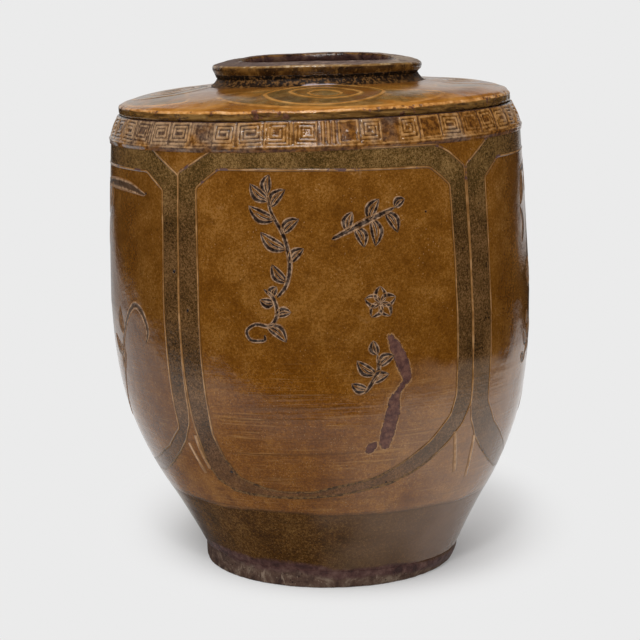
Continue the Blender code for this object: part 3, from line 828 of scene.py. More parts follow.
def scarred(r, place, colour, off):
    """The colour with the scars where the glaze ran off, and the masks of scar and halo."""
    halo = r.step(off, 1.9 * MM, 0.9 * MM) * r.step(r.lumps(place, 120, 2), 0.35, 0.5)
    colour = r.blend(halo * 0.8, colour, (0.30, 0.155, 0.060))
    colour = r.blend(r.step(off, 0.9 * MM, 0.3 * MM) * 0.7, colour, (0.050, 0.022, 0.012))
    tone = r.tones(
        r.lumps(place, 170, 4, 0.7),
        [(0.35, (0.050, 0.022, 0.020)), (0.52, SCAR), (0.68, (0.150, 0.072, 0.048))],
    )
    scar = r.step(off, 0.35 * MM, -0.1 * MM)
    return r.blend(scar, colour, tone), scar, halo


def wall_glaze():
    """The whole wall: amber fields, olive frames, the dark dip, the scars and the bare foot."""
    material, r = new_recipe("amber_glaze_wall")
    place = r.place()
    x, y, z = r.parts(place)
    ragged = r.lumps(place, 130, 4, 0.65) - 0.5
    drift = r.lumps(place, 14, 2, 0.5) - 0.5
    frame_in = r.fact("frame") + ragged * (1.4 * MM)
    field_in = r.fact("field") + ragged * (0.9 * MM)
    scar_off = r.fact("scar") + (r.lumps(place, 260, 5, 0.75) - 0.5) * (5.5 * MM) + drift * (1.0 * MM)
    inner = r.fact("inside")
    in_frame = r.step(frame_in, -0.5 * MM, 0.6 * MM) * r.step(field_in, 0.5 * MM, -0.6 * MM)
    frame_fade = r.step(z, 0.094, 0.150) * 0.40 + 0.58
    broad_streak, fine_streak = streaks(r, place)
    amber = amber_colour(r, place)
    streak_zone = r.step(z + drift * 0.06, 0.245, 0.175)
    patchy = r.step(r.lumps(place, 26, 2, 0.5), 0.38, 0.60)
    pale_streak = r.step(fine_streak, 0.56, 0.70) * streak_zone * patchy
    dark_streak = r.step(broad_streak, 0.54, 0.70) * streak_zone
    amber = r.blend(dark_streak * 0.6, amber, (0.085, 0.032, 0.004))
    amber = r.blend(pale_streak * 0.42, amber, (0.34, 0.19, 0.075))
    belly = r.step(z, 0.37, 0.27)
    amber = r.tint(belly, amber, (0.84, 0.80, 0.66))
    amber = r.tint(streak_zone, amber, (1.12, 1.06, 0.85))
    # painted shade: the amber darkens towards the jar's left and right sides, where the light falls off
    sides = r.step(x * x + drift * 0.004, 0.0150, 0.0250)
    amber = r.tint(sides, amber, (0.80, 0.81, 0.88))
    # painted reflection: a pale milky sheen of the floor on the low right front of the wall
    low_right_sheen = r.step(x + drift * 0.1, 0.020, 0.135) * r.step(y, 0.10, -0.02)
    low_right_sheen = low_right_sheen * r.step(z + drift * 0.05 + ragged * 0.006, 0.224, 0.212)
    amber = r.blend(low_right_sheen * 0.30, amber, (0.34, 0.225, 0.150))
    # painted glints: pale specks on the low wall stand in for light caught on fine bumps in the glaze
    low_glints = r.specks(place, 430, (0.22, 0.08), 60, (0.42, 0.56))
    amber = r.blend(low_glints * streak_zone * 0.5, amber, (0.40, 0.25, 0.11))
    # darker amber in the crease beside each line, where glaze pooled, with painted shade of the raised
    # line added
    pooled = r.step(field_in, 3.0 * MM, 0.4 * MM) * r.step(field_in, -0.5 * MM, 0.3 * MM)
    amber = r.blend(pooled * 0.4, amber, AMBER_DEEP)
    waist = r.step(z, 0.17, 0.22) * r.step(z, 0.36, 0.31)
    olive = r.tint(waist, olive_colour(r, place), (0.84, 0.82, 0.78))
    # the same painted floor sheen over the olive frames
    olive = r.blend(low_right_sheen * 0.22, olive, (0.26, 0.19, 0.135))
    colour = r.blend(in_frame * frame_fade, amber, olive)
    low_frame = r.step(z, 0.165, 0.125)
    near_out = r.step(frame_in, -1.7 * MM, -0.3 * MM) * r.step(frame_in, 1.9 * MM, 0.4 * MM)
    near_in = r.step(field_in, -1.9 * MM, -0.4 * MM) * r.step(field_in, 1.7 * MM, 0.3 * MM)
    dotted = r.step(r.lumps(place, 170, 3, 0.7), 0.40, 0.56)
    edge_line = (near_out + near_in) * low_frame * dotted
    colour = r.blend(edge_line * 0.75, colour, (0.032, 0.017, 0.006))
    dip_edge = z + drift * 0.010 + ragged * 0.002 + x * 0.006
    under_dip = r.step(dip_edge, 0.0815, 0.0790)
    overlap = r.step(dip_edge, 0.0775, 0.0800) * r.step(dip_edge, 0.0835, 0.0808)
    band, right_sheen = lower_band(r, place, x, y, drift)
    colour = r.blend(under_dip, colour, band)
    colour = r.blend(overlap * 0.3, colour, (0.034, 0.017, 0.006))
    colour, pits = pitted(r, place, colour)
    colour, skin, bare = foot_colour(r, place, ragged, colour)
    colour, scar, halo = scarred(r, place, colour, scar_off)
    inner_tone = r.tones(
        r.lumps(r.stretched(place, (14.0, 14.0, 120.0)), 1.0, 4, 0.6),
        [(0.35, (0.030, 0.015, 0.011)), (0.55, (0.066, 0.034, 0.024)), (0.7, (0.11, 0.060, 0.040))],
    )
    colour = r.blend(inner, colour, inner_tone)
    rough = 0.05 + r.lumps(place, 55, 3, 0.6) * 0.11
    rough = rough + bare * 0.45 + skin * 0.12 + scar * 0.16 + inner * 0.12 + in_frame * 0.06
    waves = glaze_waves(r, place)
    marks = r.bump(broad_streak * streak_zone, 0.0004, 0.7, waves)
    marks = r.bump(fine_streak * streak_zone, 0.00016, 0.8, marks)
    grit = r.bump(r.lumps(place, 480, 2, 0.6) * in_frame, 0.00022, 0.7, marks)
    rub = r.bump(r.lumps(place, 320, 4, 0.7) * (bare + skin * 0.4), 0.0006, 0.9, grit)
    step_up = r.bump(under_dip * -1.0, 0.0004, 0.7, rub)
    holes = r.bump(pits * -1.0, 0.0010, 1.0, step_up)
    sunk = r.bump(scar * -1.0 + halo * 0.3, 0.0005, 0.8, holes)
    unglazed = r.step(skin + bare, 0.1, 0.9)
    dull = under_dip * (0.95 - right_sheen * 0.5) * (1 - unglazed) + unglazed * 0.8
    dull = dull + scar * 0.6 + in_frame * 0.3
    dull = dull + (1 - under_dip) * streak_zone * (1 - in_frame) * (1 - right_sheen) * 0.25
    finish(colour, rough, sunk, r, dull)
    return material


def slip_line_glaze(name, sinks):
    """Trailed slip. The panels' lines sink away under the amber low on the jar."""
    material, r = new_recipe(name)
    place = r.place()
    _, _, z = r.parts(place)
    across = r.fact("across")
    tone = r.lumps(place, 90, 3, 0.6)
    crest = r.tones(tone, [(0.36, (0.170, 0.075, 0.018)), (0.52, SLIP), (0.66, (0.34, 0.185, 0.072))])
    side = r.tones(tone, [(0.4, (0.048, 0.020, 0.005)), (0.6, (0.100, 0.042, 0.008))])
    worn = r.step(r.lumps(place, 200, 3, 0.65), 0.58, 0.70)
    crest = r.blend(worn * 0.6, crest, (0.11, 0.050, 0.014))
    if not sinks:
        side = (0.15, 0.070, 0.022)
        crest = r.tint(1.0, crest, (1.25, 1.35, 1.75))
    # the line's flanks are darker: glaze pooled against the ridge, with painted shade of the ridge
    # added
    colour = r.blend(r.step(across + (tone - 0.5) * 0.4, 0.45, 0.95), crest, side)
    bruise = r.step(r.lumps(place, 60, 3, 0.6), 0.57, 0.63) * r.step(z, 0.370, 0.378)
    colour = r.blend(bruise * 0.85, colour, (0.065, 0.034, 0.038))
    low = r.step(z, 0.165, 0.118) * float(sinks)
    sunk_tone = r.tones(
        r.lumps(place, 300, 3, 0.7), [(0.42, (0.028, 0.015, 0.006)), (0.54, (0.135, 0.068, 0.020))]
    )
    colour = r.blend(low * 0.9, colour, sunk_tone)
    fine = r.bump(r.lumps(place, 300, 3, 0.6), 0.0002, 0.5)
    finish(colour, 0.14 + tone * 0.14, fine, r, low * 0.5)
    return material


def painted_line_glaze():
    """The shoulder's lines: broad, soft and nearly flush."""
    material, r = new_recipe("shoulder_line_glaze")
    place = r.place()
    across = r.fact("across")
    tone = r.lumps(place, 70, 4, 0.65)
    crest = r.tones(
        tone, [(0.36, (0.22, 0.090, 0.014)), (0.52, (0.36, 0.165, 0.036)), (0.66, (0.46, 0.24, 0.075))]
    )
    side = r.tones(tone, [(0.4, (0.11, 0.055, 0.013)), (0.6, (0.21, 0.105, 0.026))])
    colour = r.blend(r.step(across + (tone - 0.5) * 0.8, 0.40, 1.15), crest, side)
    finish(colour, 0.10 + tone * 0.12, glaze_waves(r, place), r)
    return material


def stroke_glaze():
    """Incised strokes: dark where they are deep, with a pale burr on both edges."""
    material, r = new_recipe("incised_stroke_glaze")
    place = r.place()
    across = r.fact("across")
    tone = r.lumps(place, 260, 3, 0.65)
    deep = r.tones(
        tone,
        [(0.38, (0.011, 0.006, 0.004)), (0.52, (0.034, 0.020, 0.014)), (0.66, (0.105, 0.070, 0.050))],
    )
    on_left = r.step(r.parts(place)[0], -0.10, -0.14)
    deep = r.blend(on_left * 0.5, deep, (0.088, 0.044, 0.018))
    burr = r.tones(tone, [(0.4, (0.12, 0.056, 0.020)), (0.6, (0.34, 0.21, 0.12))])
    colour = r.blend(r.step(across + (tone - 0.5) * 0.6, 0.62, 0.98), deep, burr)
    colour = r.blend(r.step(across, 1.15, 1.5), colour, AMBER)
    fine = r.bump(r.lumps(place, 500, 3, 0.6), 0.0003, 0.6)
    finish(colour, 0.20 + tone * 0.2, fine, r, 0.5)
    return material


def fret_glaze():
    """The stamped strip: pale worn ridges over dark hollows, with rust along its foot."""
    material, r = new_recipe("fret_band_glaze")
    place = r.place()
    x, y, _ = r.parts(place)
    relief = r.fact("relief")
    groove = r.fact("groove")
    worn = r.lumps(place, 24, 3, 0.6) - x * 0.55
    tone = r.lumps(place, 240, 3, 0.65)
    amber_low = r.tones(tone, [(0.4, (0.062, 0.022, 0.005)), (0.6, (0.190, 0.074, 0.012))])
    dusk_low = r.tones(tone, [(0.4, (0.055, 0.032, 0.022)), (0.6, (0.125, 0.074, 0.046))])
    amber_high = r.tones(tone, [(0.4, (0.185, 0.080, 0.016)), (0.6, (0.34, 0.175, 0.060))])
    dusk_high = r.tones(tone, [(0.4, (0.20, 0.118, 0.060)), (0.6, (0.34, 0.215, 0.122))])
    dusk = r.step(worn, 0.46, 0.62)
    low = r.blend(dusk, amber_low, dusk_low)
    high = r.blend(dusk, amber_high, dusk_high)
    colour = r.blend(r.step(relief + (tone - 0.5) * 0.6, 0.18, 0.72), low, high)
    blot = r.step(r.lumps(place, 70, 4, 0.7, 0.8), 0.56, 0.70)
    colour = r.blend(blot * 0.6, colour, (0.150, 0.058, 0.010))
    # dark in the joins between tiles, and painted shade along the strip's top under the shoulder's edge
    pressed = r.step(groove + (tone - 0.5) * 0.6, 0.30, 0.8)
    colour = r.blend(pressed * 0.9, colour, (0.034, 0.018, 0.018))
    bare = r.fact("foot_zone")
    rust = r.tones(tone, [(0.4, (0.050, 0.018, 0.010)), (0.6, (0.150, 0.062, 0.020))])
    colour = r.blend(bare * 0.85, colour, rust)
    pit = r.specks(place, 60, (0.10, 0.06), 20, (0.54, 0.62))
    colour = r.blend(pit, colour, (0.02, 0.012, 0.012))
    waves = r.bump(r.lumps(place, 160, 3, 0.6), 0.0006, 0.7)
    waves = r.bump(r.lumps(place, 600, 2, 0.6), 0.00014, 0.7, waves)
    pooled = r.step(x, -0.026, -0.018) * r.step(x, 0.018, 0.008) * r.step(y, -0.1, -0.15)
    finish(colour, 0.06 + tone * 0.09 + bare * 0.3 + pooled * 0.15, waves, r, bare * 0.6)
    return material


def lens_colour(r, place, x, ragged):
    """The cone's amber with the grey-green lenses and the sweeping line painted on it."""
    outer = r.fact("lens_outer") + ragged * (2.0 * MM)
    middle = r.fact("lens_middle") + ragged * (1.5 * MM)
    eye = r.fact("lens_eye") + ragged * (1.0 * MM)
    sweep = r.fact("sweep") + ragged * (3.0 * MM)
    amber = amber_colour(r, place)
    warm = r.tones(
        r.lumps(place, 26, 4, 0.6, 0.8),
        [(0.36, (0.165, 0.060, 0.007)), (0.52, (0.27, 0.115, 0.019)), (0.68, (0.38, 0.190, 0.050))],
    )
    colour = r.blend(0.7, amber, warm)
    clouds = r.step(r.lumps(place, 28, 3, 0.6, 1.5), 0.52, 0.68)
    colour = r.blend(clouds * 0.45, colour, (0.115, 0.048, 0.009))
    grey = r.tones(
        r.lumps(place, 85, 4, 0.65),
        [(0.36, (0.045, 0.030, 0.010)), (0.5, (0.092, 0.064, 0.023)), (0.64, (0.165, 0.120, 0.050))],
    )
    patchy = r.step(r.lumps(place, 34, 3, 0.6), 0.36, 0.56)
    in_lens = r.step(outer, -0.6 * MM, 1.2 * MM)
    colour = r.blend(in_lens * (patchy * 0.4 + 0.35), colour, grey)
    core = r.step(middle, 3 * MM, 8 * MM) * r.step(eye, -1 * MM, -4 * MM)
    colour = r.blend(core * 0.55, colour, warm)
    warm_side = in_lens * r.step(r.lumps(place, 22, 2, 0.5) + x * 2.5, 0.54, 0.62)
    colour = r.blend(warm_side * 0.75, colour, (0.140, 0.046, 0.006))
    in_sweep = r.step(sweep, -1 * MM, 2 * MM) * (1 - in_lens)
    colour = r.blend(in_sweep * patchy * 0.62, colour, grey)
    sweep_line = r.step(sweep, -4.4 * MM, -2.0 * MM) * r.step(sweep, 1.4 * MM, -0.6 * MM)
    line_tone = r.tones(
        r.lumps(place, 120, 3, 0.6), [(0.38, (0.25, 0.110, 0.022)), (0.62, (0.42, 0.215, 0.062))]
    )
    return r.blend(sweep_line * (1 - in_lens) * (patchy * 0.4 + 0.5), colour, line_tone)


def shoulder_glaze():
    """The cone: amber, grey-green lenses, a pale worn edge, the dark join at the neck, painted shade
    under the rim and a painted highlight at the neck.
    """
    material, r = new_recipe("shoulder_glaze")
    place = r.place()
    x, y, _ = r.parts(place)
    ragged = r.lumps(place, 110, 4, 0.65) - 0.5
    colour = lens_colour(r, place, x, ragged)
    side = r.fact("side")
    side_tone = r.tones(
        r.lumps(r.stretched(place, (42.0, 42.0, 330.0)), 1.0, 4, 0.65, 0.5),
        [(0.36, (0.036, 0.018, 0.005)), (0.5, (0.118, 0.056, 0.013)), (0.66, (0.21, 0.120, 0.038))],
    )
    side_dark = r.step(r.lumps(r.stretched(place, (60.0, 60.0, 260.0)), 1.0, 4, 0.7), 0.54, 0.64)
    side_tone = r.blend(side_dark * 0.85, side_tone, (0.026, 0.014, 0.008))
    colour = r.blend(side * 0.95, colour, side_tone)
    edge = r.fact("edge")
    worn = r.step(edge + (r.lumps(place, 110, 4, 0.75) - 0.5) * 1.5, 0.50, 0.84)
    orange = r.tones(
        r.lumps(place, 80, 5, 0.72),
        [(0.34, (0.14, 0.050, 0.012)), (0.50, (0.37, 0.180, 0.052)), (0.66, (0.52, 0.32, 0.16))],
    )
    colour = r.blend(worn * 0.9, colour, orange)
    nick = r.step(edge + side * 0.5, 0.3, 0.7) * r.step(r.grains(place, 150), 0.30, 0.16)
    colour = r.blend(nick * 0.65, colour, (0.034, 0.014, 0.010))
    chip = r.step(edge + side * 0.6, 0.25, 0.55)
    chip = chip * r.step(r.lumps(place, 46, 5, 0.75, 0.6), 0.585, 0.615)
    chip_tone = r.tones(
        r.lumps(place, 240, 3, 0.7), [(0.40, (0.034, 0.011, 0.007)), (0.60, (0.115, 0.042, 0.024))]
    )
    colour = r.blend(chip * 0.9, colour, chip_tone)
    under = r.fact("under")
    colour = r.blend(under, colour, (0.042, 0.021, 0.014))
    hole = r.specks(place, 46, (0.075, 0.045), 16, (0.52, 0.58))
    colour = r.blend(hole, colour, (0.018, 0.009, 0.006))
    from_axis_squared = (x + 0.015) * (x + 0.015) + y * y
    pale_front = r.step(from_axis_squared, 0.0255, 0.0300) * r.step(y, -0.04, -0.10) * (1 - side)
    colour = r.tint(pale_front, colour, (1.28, 1.20, 1.10))
    # painted shade: the front of the cone just under the rim is darkened
    rim_shade = r.step(from_axis_squared, 0.0150, 0.0112) * r.step(y, -0.02, -0.06)
    colour = r.tint(rim_shade * 0.9, colour, (0.74, 0.62, 0.50))
    # the dark crumbly join at the neck, painted near-black also for the shade under the rim
    neck = r.step(r.fact("neck") + ragged * 0.9, 0.35, 0.60)
    crumb = r.step(r.lumps(place, 330, 3, 0.7), 0.48, 0.60)
    neck_tone = r.blend(crumb, (0.013, 0.006, 0.003), (0.150, 0.068, 0.018))
    # painted highlight: a pale lilac patch at the front of the neck stands in for a lamp's reflection
    # there
    neck_glint = r.step(x, -0.030, -0.024) * r.step(x, 0.022, 0.014)
    neck_glint = neck_glint * r.step(y + ragged * 0.004, -0.0975, -0.0995)
    neck_tone = r.blend(neck_glint * neck * 0.85, neck_tone, (0.46, 0.40, 0.43))
    colour = r.blend(neck, colour, neck_tone)
    rough = 0.07 + r.lumps(place, 50, 3, 0.6) * 0.12 + chip * 0.3 + neck * 0.3
    waves = glaze_waves(r, place)
    waves = r.bump(r.lumps(place, 260, 4, 0.7) * (chip + neck + worn * 0.3), 0.0009, 0.9, waves)
    waves = r.bump((chip + nick) * -1.0, 0.0006, 0.8, waves)
    finish(colour, rough, waves, r, r.step(neck + chip, 0.2, 1.0) * 0.8)
    return material


def rim_glaze():
    """The rim: a dark mottled face, a dry lip, a worn edge with a painted highlight, and a crumbling
    foot painted darker for the shade under it.
    """
    material, r = new_recipe("rim_glaze")
    place = r.place()
    x, _, _ = r.parts(place)
    ragged = r.lumps(place, 80, 4, 0.65) - 0.5
    dry = r.step(r.fact("dry") + ragged * 0.7, 0.40, 0.70)
    foot = r.step(r.fact("foot") + ragged * 1.1, 0.30, 0.60)
    inner = r.fact("inside")
    # painted highlight along the rim's rounded edge, strongest at the front
    gold = r.step(r.fact("gold") + ragged * 2.2, 0.55, 1.0)
    face_tone = r.lumps(place, 75, 4, 0.65, 0.5)
    face = r.tones(
        face_tone,
        [(0.36, (0.014, 0.006, 0.003)), (0.5, (0.050, 0.020, 0.005)), (0.64, (0.160, 0.072, 0.014))],
    )
    # painted light: the face's upper part is lighter, most at the front
    upper_face_light = r.step(r.fact("gold") + ragged * 1.5, -0.2, 0.6)
    face = r.blend(upper_face_light * 0.35, face, (0.175, 0.080, 0.017))
    fleck = r.step(r.lumps(place, 230, 3, 0.7), 0.54, 0.68)
    face = r.blend(fleck * 0.6, face, (0.235, 0.115, 0.028))
    top = r.tones(
        r.lumps(place, 150, 5, 0.7, 0.4),
        [(0.34, (0.050, 0.024, 0.018)), (0.5, (0.125, 0.075, 0.056)), (0.66, (0.235, 0.160, 0.122))],
    )
    left_side = r.step(x, 0.01, -0.07)
    top = r.blend(left_side * 0.45, top, (0.070, 0.036, 0.028))
    pale_patch = r.step(x, 0.035, 0.060) * r.step(r.lumps(place, 60, 4, 0.7), 0.42, 0.56)
    top = r.blend(pale_patch * 0.65, top, (0.34, 0.265, 0.185))
    olive_spot = r.step(r.lumps(place, 40, 4, 0.65, 0.6), 0.57, 0.68)
    top = r.blend(olive_spot * 0.6, top, (0.110, 0.066, 0.022))
    dark_spot = r.step(r.grains(place, 200), 0.20, 0.08)
    top = r.blend(dark_spot * 0.6, top, (0.026, 0.014, 0.012))
    colour = r.blend(dry, face, top)
    edge_tone = r.tones(
        r.lumps(place, 190, 4, 0.65),
        [(0.36, (0.120, 0.055, 0.014)), (0.52, (0.30, 0.175, 0.062)), (0.66, (0.50, 0.37, 0.21))],
    )
    colour = r.blend(gold * 0.7, colour, edge_tone)
    # dark crumbly glaze at the rim's foot, painted near-black also for the shade under the overhanging
    # edge
    crumb = r.step(r.lumps(place, 300, 3, 0.7), 0.52, 0.62)
    foot_tone = r.blend(crumb, (0.009, 0.005, 0.003), (0.150, 0.070, 0.020))
    colour = r.blend(foot, colour, foot_tone)
    hollow = r.tones(
        face_tone,
        [(0.36, (0.022, 0.010, 0.009)), (0.52, (0.055, 0.025, 0.020)), (0.68, (0.110, 0.058, 0.034))],
    )
    colour = r.blend(inner, colour, hollow)
    rough = 0.12 + dry * 0.36 + foot * 0.35 + r.lumps(place, 70, 3, 0.6) * 0.12
    waves = glaze_waves(r, place)
    waves = r.bump(r.lumps(place, 150, 4, 0.65), 0.0010, 0.7, waves)
    waves = r.bump(r.lumps(place, 360, 4, 0.7) * (foot + dry * 0.45), 0.0012, 0.9, waves)
    finish(colour, rough, waves, r, foot * 0.75 + dry * 0.25)
    return material


def raw_clay():
    """The scraped clay of the base slab."""
    material, r = new_recipe("raw_clay_foot")
    place = r.place()
    ragged = r.lumps(place, 130, 4, 0.65) - 0.5
    colour, _, bare = foot_colour(r, place, ragged, BAND_BROWN)
    waves = r.bump(r.lumps(place, 60, 4, 0.7), 0.0026, 0.7)
    waves = r.bump(r.lumps(place, 330, 4, 0.7), 0.0010, 1.0, waves)
    finish(colour, 0.32 + bare * 0.38 + r.lumps(place, 90, 3) * 0.2, waves, r, 0.8)
    return material


# ---- the pieces ----

WHEEL_STEPS = 400
# How far the rim sank: degrees round the jar, and millimetres
RIM_DROOP = (
    (-180, -1.2), (-150, -1.4), (-128, -2.0), (-112, 0.4), (-100, 1.4), (-85, 1.3), (-50, 0.7),
    (0, 0.0), (45, 2.3), (75, 4.4), (90, 4.6), (105, 3.2), (120, 1.1), (150, -1.2), (180, -1.2),
)


def rim_droop(angle):
    """How far the rim sank at each angle, most of all on the right, in metres."""
    turns, depths = zip(*RIM_DROOP)
    turn = (np.degrees(angle) + 180) % 360 - 180
    near = [np.interp((turn + step + 180) % 360 - 180, turns, depths) for step in (-12, -6, 0, 6, 12)]
    return np.mean(near, axis=0) * MM


def sunk_sides(angle, radius):
    """How far the clay round the rim sank at the jar's two sides, in metres."""
    side = np.sin(angle)
    depth = np.where(side > 0, 2.7 * MM, 2.2 * MM) * side**2
    return depth * soft_step(-radius, -0.168, -0.108)


def make_wall(material):
    """The whole wall under one glaze, with the panels' lines kept as distances on it."""
    heights = np.concatenate([
        SLAB_TOP + np.array((0.1, 0.25, 0.5, 0.9, 1.6)) * MM,
        np.linspace(SLAB_TOP + 3.2 * MM, BAND_FOOT + 2 * MM, 160),
    ])
    outer = [(float(WALL.outline(h)[0]), h) for h in heights]
    inner = []
    for h in np.linspace(BAND_FOOT + 2 * MM, SLAB_TOP + 0.1 * MM, 26):
        slope = float(WALL.slope(np.array([max(h, SLAB_TOP + MM)]))[0][0])
        inner.append((float(WALL.outline(h)[0]) - WALL_THICKNESS * math.hypot(1, slope), h))
    wall = turn_on_wheel("glazed_wall", outer + inner, WHEEL_STEPS)
    points = read_points(wall)
    angle, radius = round_axis(points)
    way = points[:, 2]
    inside = radius < WALL.outline(way)[0] - WALL_THICKNESS / 2
    points = np.where(inside[:, None], points, WALL.place(angle, way))
    scar = np.min([distance_to_run(angle, way, run) for run in SCAR_RUNS], axis=0)
    lift = -0.25 * MM * soft_step(-scar, -0.5 * MM, 0.8 * MM) * ~inside
    rings = 0.05 * MM * np.sin(way * 610 + 1.6 * np.sin(angle * 2 + way * 20))
    rings *= soft_step(-way, -0.25, -0.17) * ~inside
    low_edge = soft_step(-way, -0.026, -0.017) * ~inside
    chips = grain(points, 130, 4.0) * 0.7 + grain(points, 330, 9.0) * 0.3
    lift = lift + rings - low_edge * (0.1 * MM + 0.45 * MM * chips)
    wheel_marks = 0.5 * MM * np.sin(way * 520 + angle) * inside
    push_out(points, angle, lift + wheel_marks)
    write_points(wall, points)
    for name, line in (("frame", 0), ("field", 1)):
        depths = [distance_inside_panel(angle, way, panel[line], panel[2]) for panel in PANELS.values()]
        mark(wall, name, np.max(depths, axis=0))
    mark(wall, "scar", np.where(inside, 1.0, scar))
    mark(wall, "inside", inside)
    return ground(wall, material, "amber_glaze", "foot_section", "lower_wall", "upper_wall")


def fading(path):
    """The panels' lines sink away along the bottom of the frames."""
    return 0.12 + 0.88 * soft_step(path[:, 1], 0.106, 0.158)


def make_panel_lines(material):
    for side, (outer, inner, _) in PANELS.items():
        for kind, outline in (("outer", outer), ("inner", inner)):
            node = f"{side}_panel_{kind}_line"
            line = trailed_line(f"{side}_{kind}_slip_line", WALL, outline, fade=fading)
            ground(line, material, "slip_line", node)


# Two pairs of strokes, as (degrees, millimetres)
PENDANTS = (
    (((38.3, 154), (39.9, 133), (41.8, 113)), ((46.6, 146), (47.3, 123), (48.2, 104))),
    (((-41.6, 143), (-40.4, 128), (-39.2, 113)), ((-38.2, 152), (-37.9, 135.6), (-36.7, 119))),
)


def swelling(path):
    """A short stroke rises quickly, and thins out at both ends."""
    return 1.7 * np.sin(np.linspace(0.25, math.pi - 0.1, len(path))) ** 0.6


def make_pendants(material):
    """Pairs of short trailed strokes that hang below the dividers."""
    strokes = []
    for number, (pair, turn) in enumerate(((0, 0), (0, 93), (1, 267), (1, 0))):
        for index, points in enumerate(PENDANTS[pair]):
            path = curve_through([(math.radians(a + turn), z * MM) for a, z in points], 26)
            name = f"pendant_{number}_{index}"
            strokes.append(trailed_line(name, WALL, path, False, 2.0 * MM, swelling, 2 * MM))
    ground(join("pendant_slip_strokes", strokes), material, "slip_line")


MM_PER_DEGREE = 3.4


def leaf(base, heading, length, swell, bend=0.12):
    """The incised strokes of one leaf, two edges and a vein, as (degrees, millimetres, width)."""
    base = np.array((base[0] * MM_PER_DEGREE, base[1]))
    heading = math.radians(heading)
    along = np.array((math.cos(heading), math.sin(heading)))
    side = np.array((-along[1], along[0]))

    def spot(t, out, width):
        place = base + along * length * t + side * (out * swell + bend * length * math.sin(math.pi * t))
        return (place[0] / MM_PER_DEGREE, place[1], width)

    edge = ((0.0, 0.0, 0.5), (0.22, 0.78, 1.0), (0.5, 1.0, 1.25), (0.78, 0.6, 0.9), (1.0, 0.0, 0.35))
    near = [spot(t, out, width) for t, out, width in edge]
    far = [spot(t, -out, width * 0.8) for t, out, width in edge]
    vein = [spot(t, 0.0, width) for t, width in ((0.0, 0.55), (0.35, 0.6), (0.72, 0.3))]
    return [near, far, vein]


def sprig(stem, leaves):
    """A stem of (degrees, millimetres, width) with leaves of (share, heading, length, swell)."""
    strokes = [list(stem)]
    points = np.array(stem, float)
    for share, heading, length, swell in leaves:
        at = share * (len(points) - 1)
        index = min(int(at), len(points) - 2)
        base = points[index] + (points[index + 1] - points[index]) * (at - index)
        strokes += leaf(base, heading, length, swell)
    return strokes


TALL_SPRIG = sprig(
    (
        (-10.4, 285, 0.9), (-8.0, 296, 1.2), (-7.0, 315, 1.3), (-8.4, 338, 1.2), (-11.4, 358, 1.0),
        (-12.4, 374, 0.7),
    ),
    ((0.22, 128, 20, 3.6), (0.40, 44, 17, 3.2), (0.50, 146, 27, 4.2), (0.62, 40, 19, 3.6),
     (0.74, 152, 26, 4.2), (0.86, 48, 20, 3.8), (0.93, 138, 22, 3.8), (1.0, 84, 17, 3.4)),
)
CURLED_SPRIG = sprig(
    (
        (-13.8, 292, 0.7), (-11.4, 284, 1.2), (-10.6, 270, 1.2), (-12.6, 260, 1.1),
        (-16.2, 261, 1.0), (-18.6, 255, 1.0), (-17.6, 247, 1.0), (-14.2, 247, 0.9),
        (-14.0, 252, 0.6),
    ),
    ((0.16, 168, 13, 3.0), (0.26, 12, 13, 3.0), (0.40, 318, 22, 3.8), (0.10, 62, 10, 2.6)),
)
SLANTED_SPRIG = sprig(
    ((3.6, 334, 1.0), (8.0, 341, 1.5), (14.0, 350, 1.6), (20.0, 358, 0.9)),
    ((0.30, 74, 17, 3.4), (0.62, 62, 20, 3.8), (1.0, 36, 12, 3.0), (0.42, 292, 19, 3.8),
     (0.66, 276, 24, 4.2), (0.86, 300, 21, 3.8)),
)
BLOSSOM = []
for turn in range(5):
    BLOSSOM += leaf((15.4, 277), 18 + 72 * turn, 14.5, 4.4, 0.0)[:2]
BLOSSOM.append(((15.0, 277.6, 0.9), (15.4, 276.4, 1.4), (15.8, 277.6, 0.9)))
LOW_SPRIG = sprig(
    ((10.6, 198, 0.8), (12.6, 207, 1.3), (14.4, 219, 1.3), (14.2, 232, 0.9)),
    ((0.14, 158, 15, 3.2), (0.34, 24, 17, 3.4), (0.55, 142, 21, 3.8), (0.74, 30, 17, 3.6),
     (1.0, 104, 13, 3.0)),
)
BRANCH = [
    ((-86.5, 373, 1.4), (-74, 376, 2.4), (-60.5, 375.6, 2.6), (-51.3, 369.8, 0.8)),
    ((-70.5, 214, 0.6), (-66.4, 231, 1.0), (-62.4, 252, 1.5), (-57.6, 267, 1.9), (-53.6, 262, 2.0),
     (-51.4, 246, 1.6), (-52.6, 233, 0.6)),
    ((-66.0, 233, 0.6), (-68.0, 210, 0.9), (-72.0, 180, 0.9), (-79.0, 146, 0.5)),
    ((-88, 340, 0.8), (-85, 325, 2.4), (-88, 308, 0.8)),
]
for base, heading, length, swell in (
    ((-66.2, 235), 100, 27, 4.6), ((-67.6, 216), 150, 30, 4.8), ((-69.6, 198), 60, 24, 4.2),
    ((-74, 376), 236, 30, 5.0), ((-84, 374), 250, 34, 5.2),
):
    BRANCH += leaf(base, heading, length, swell)


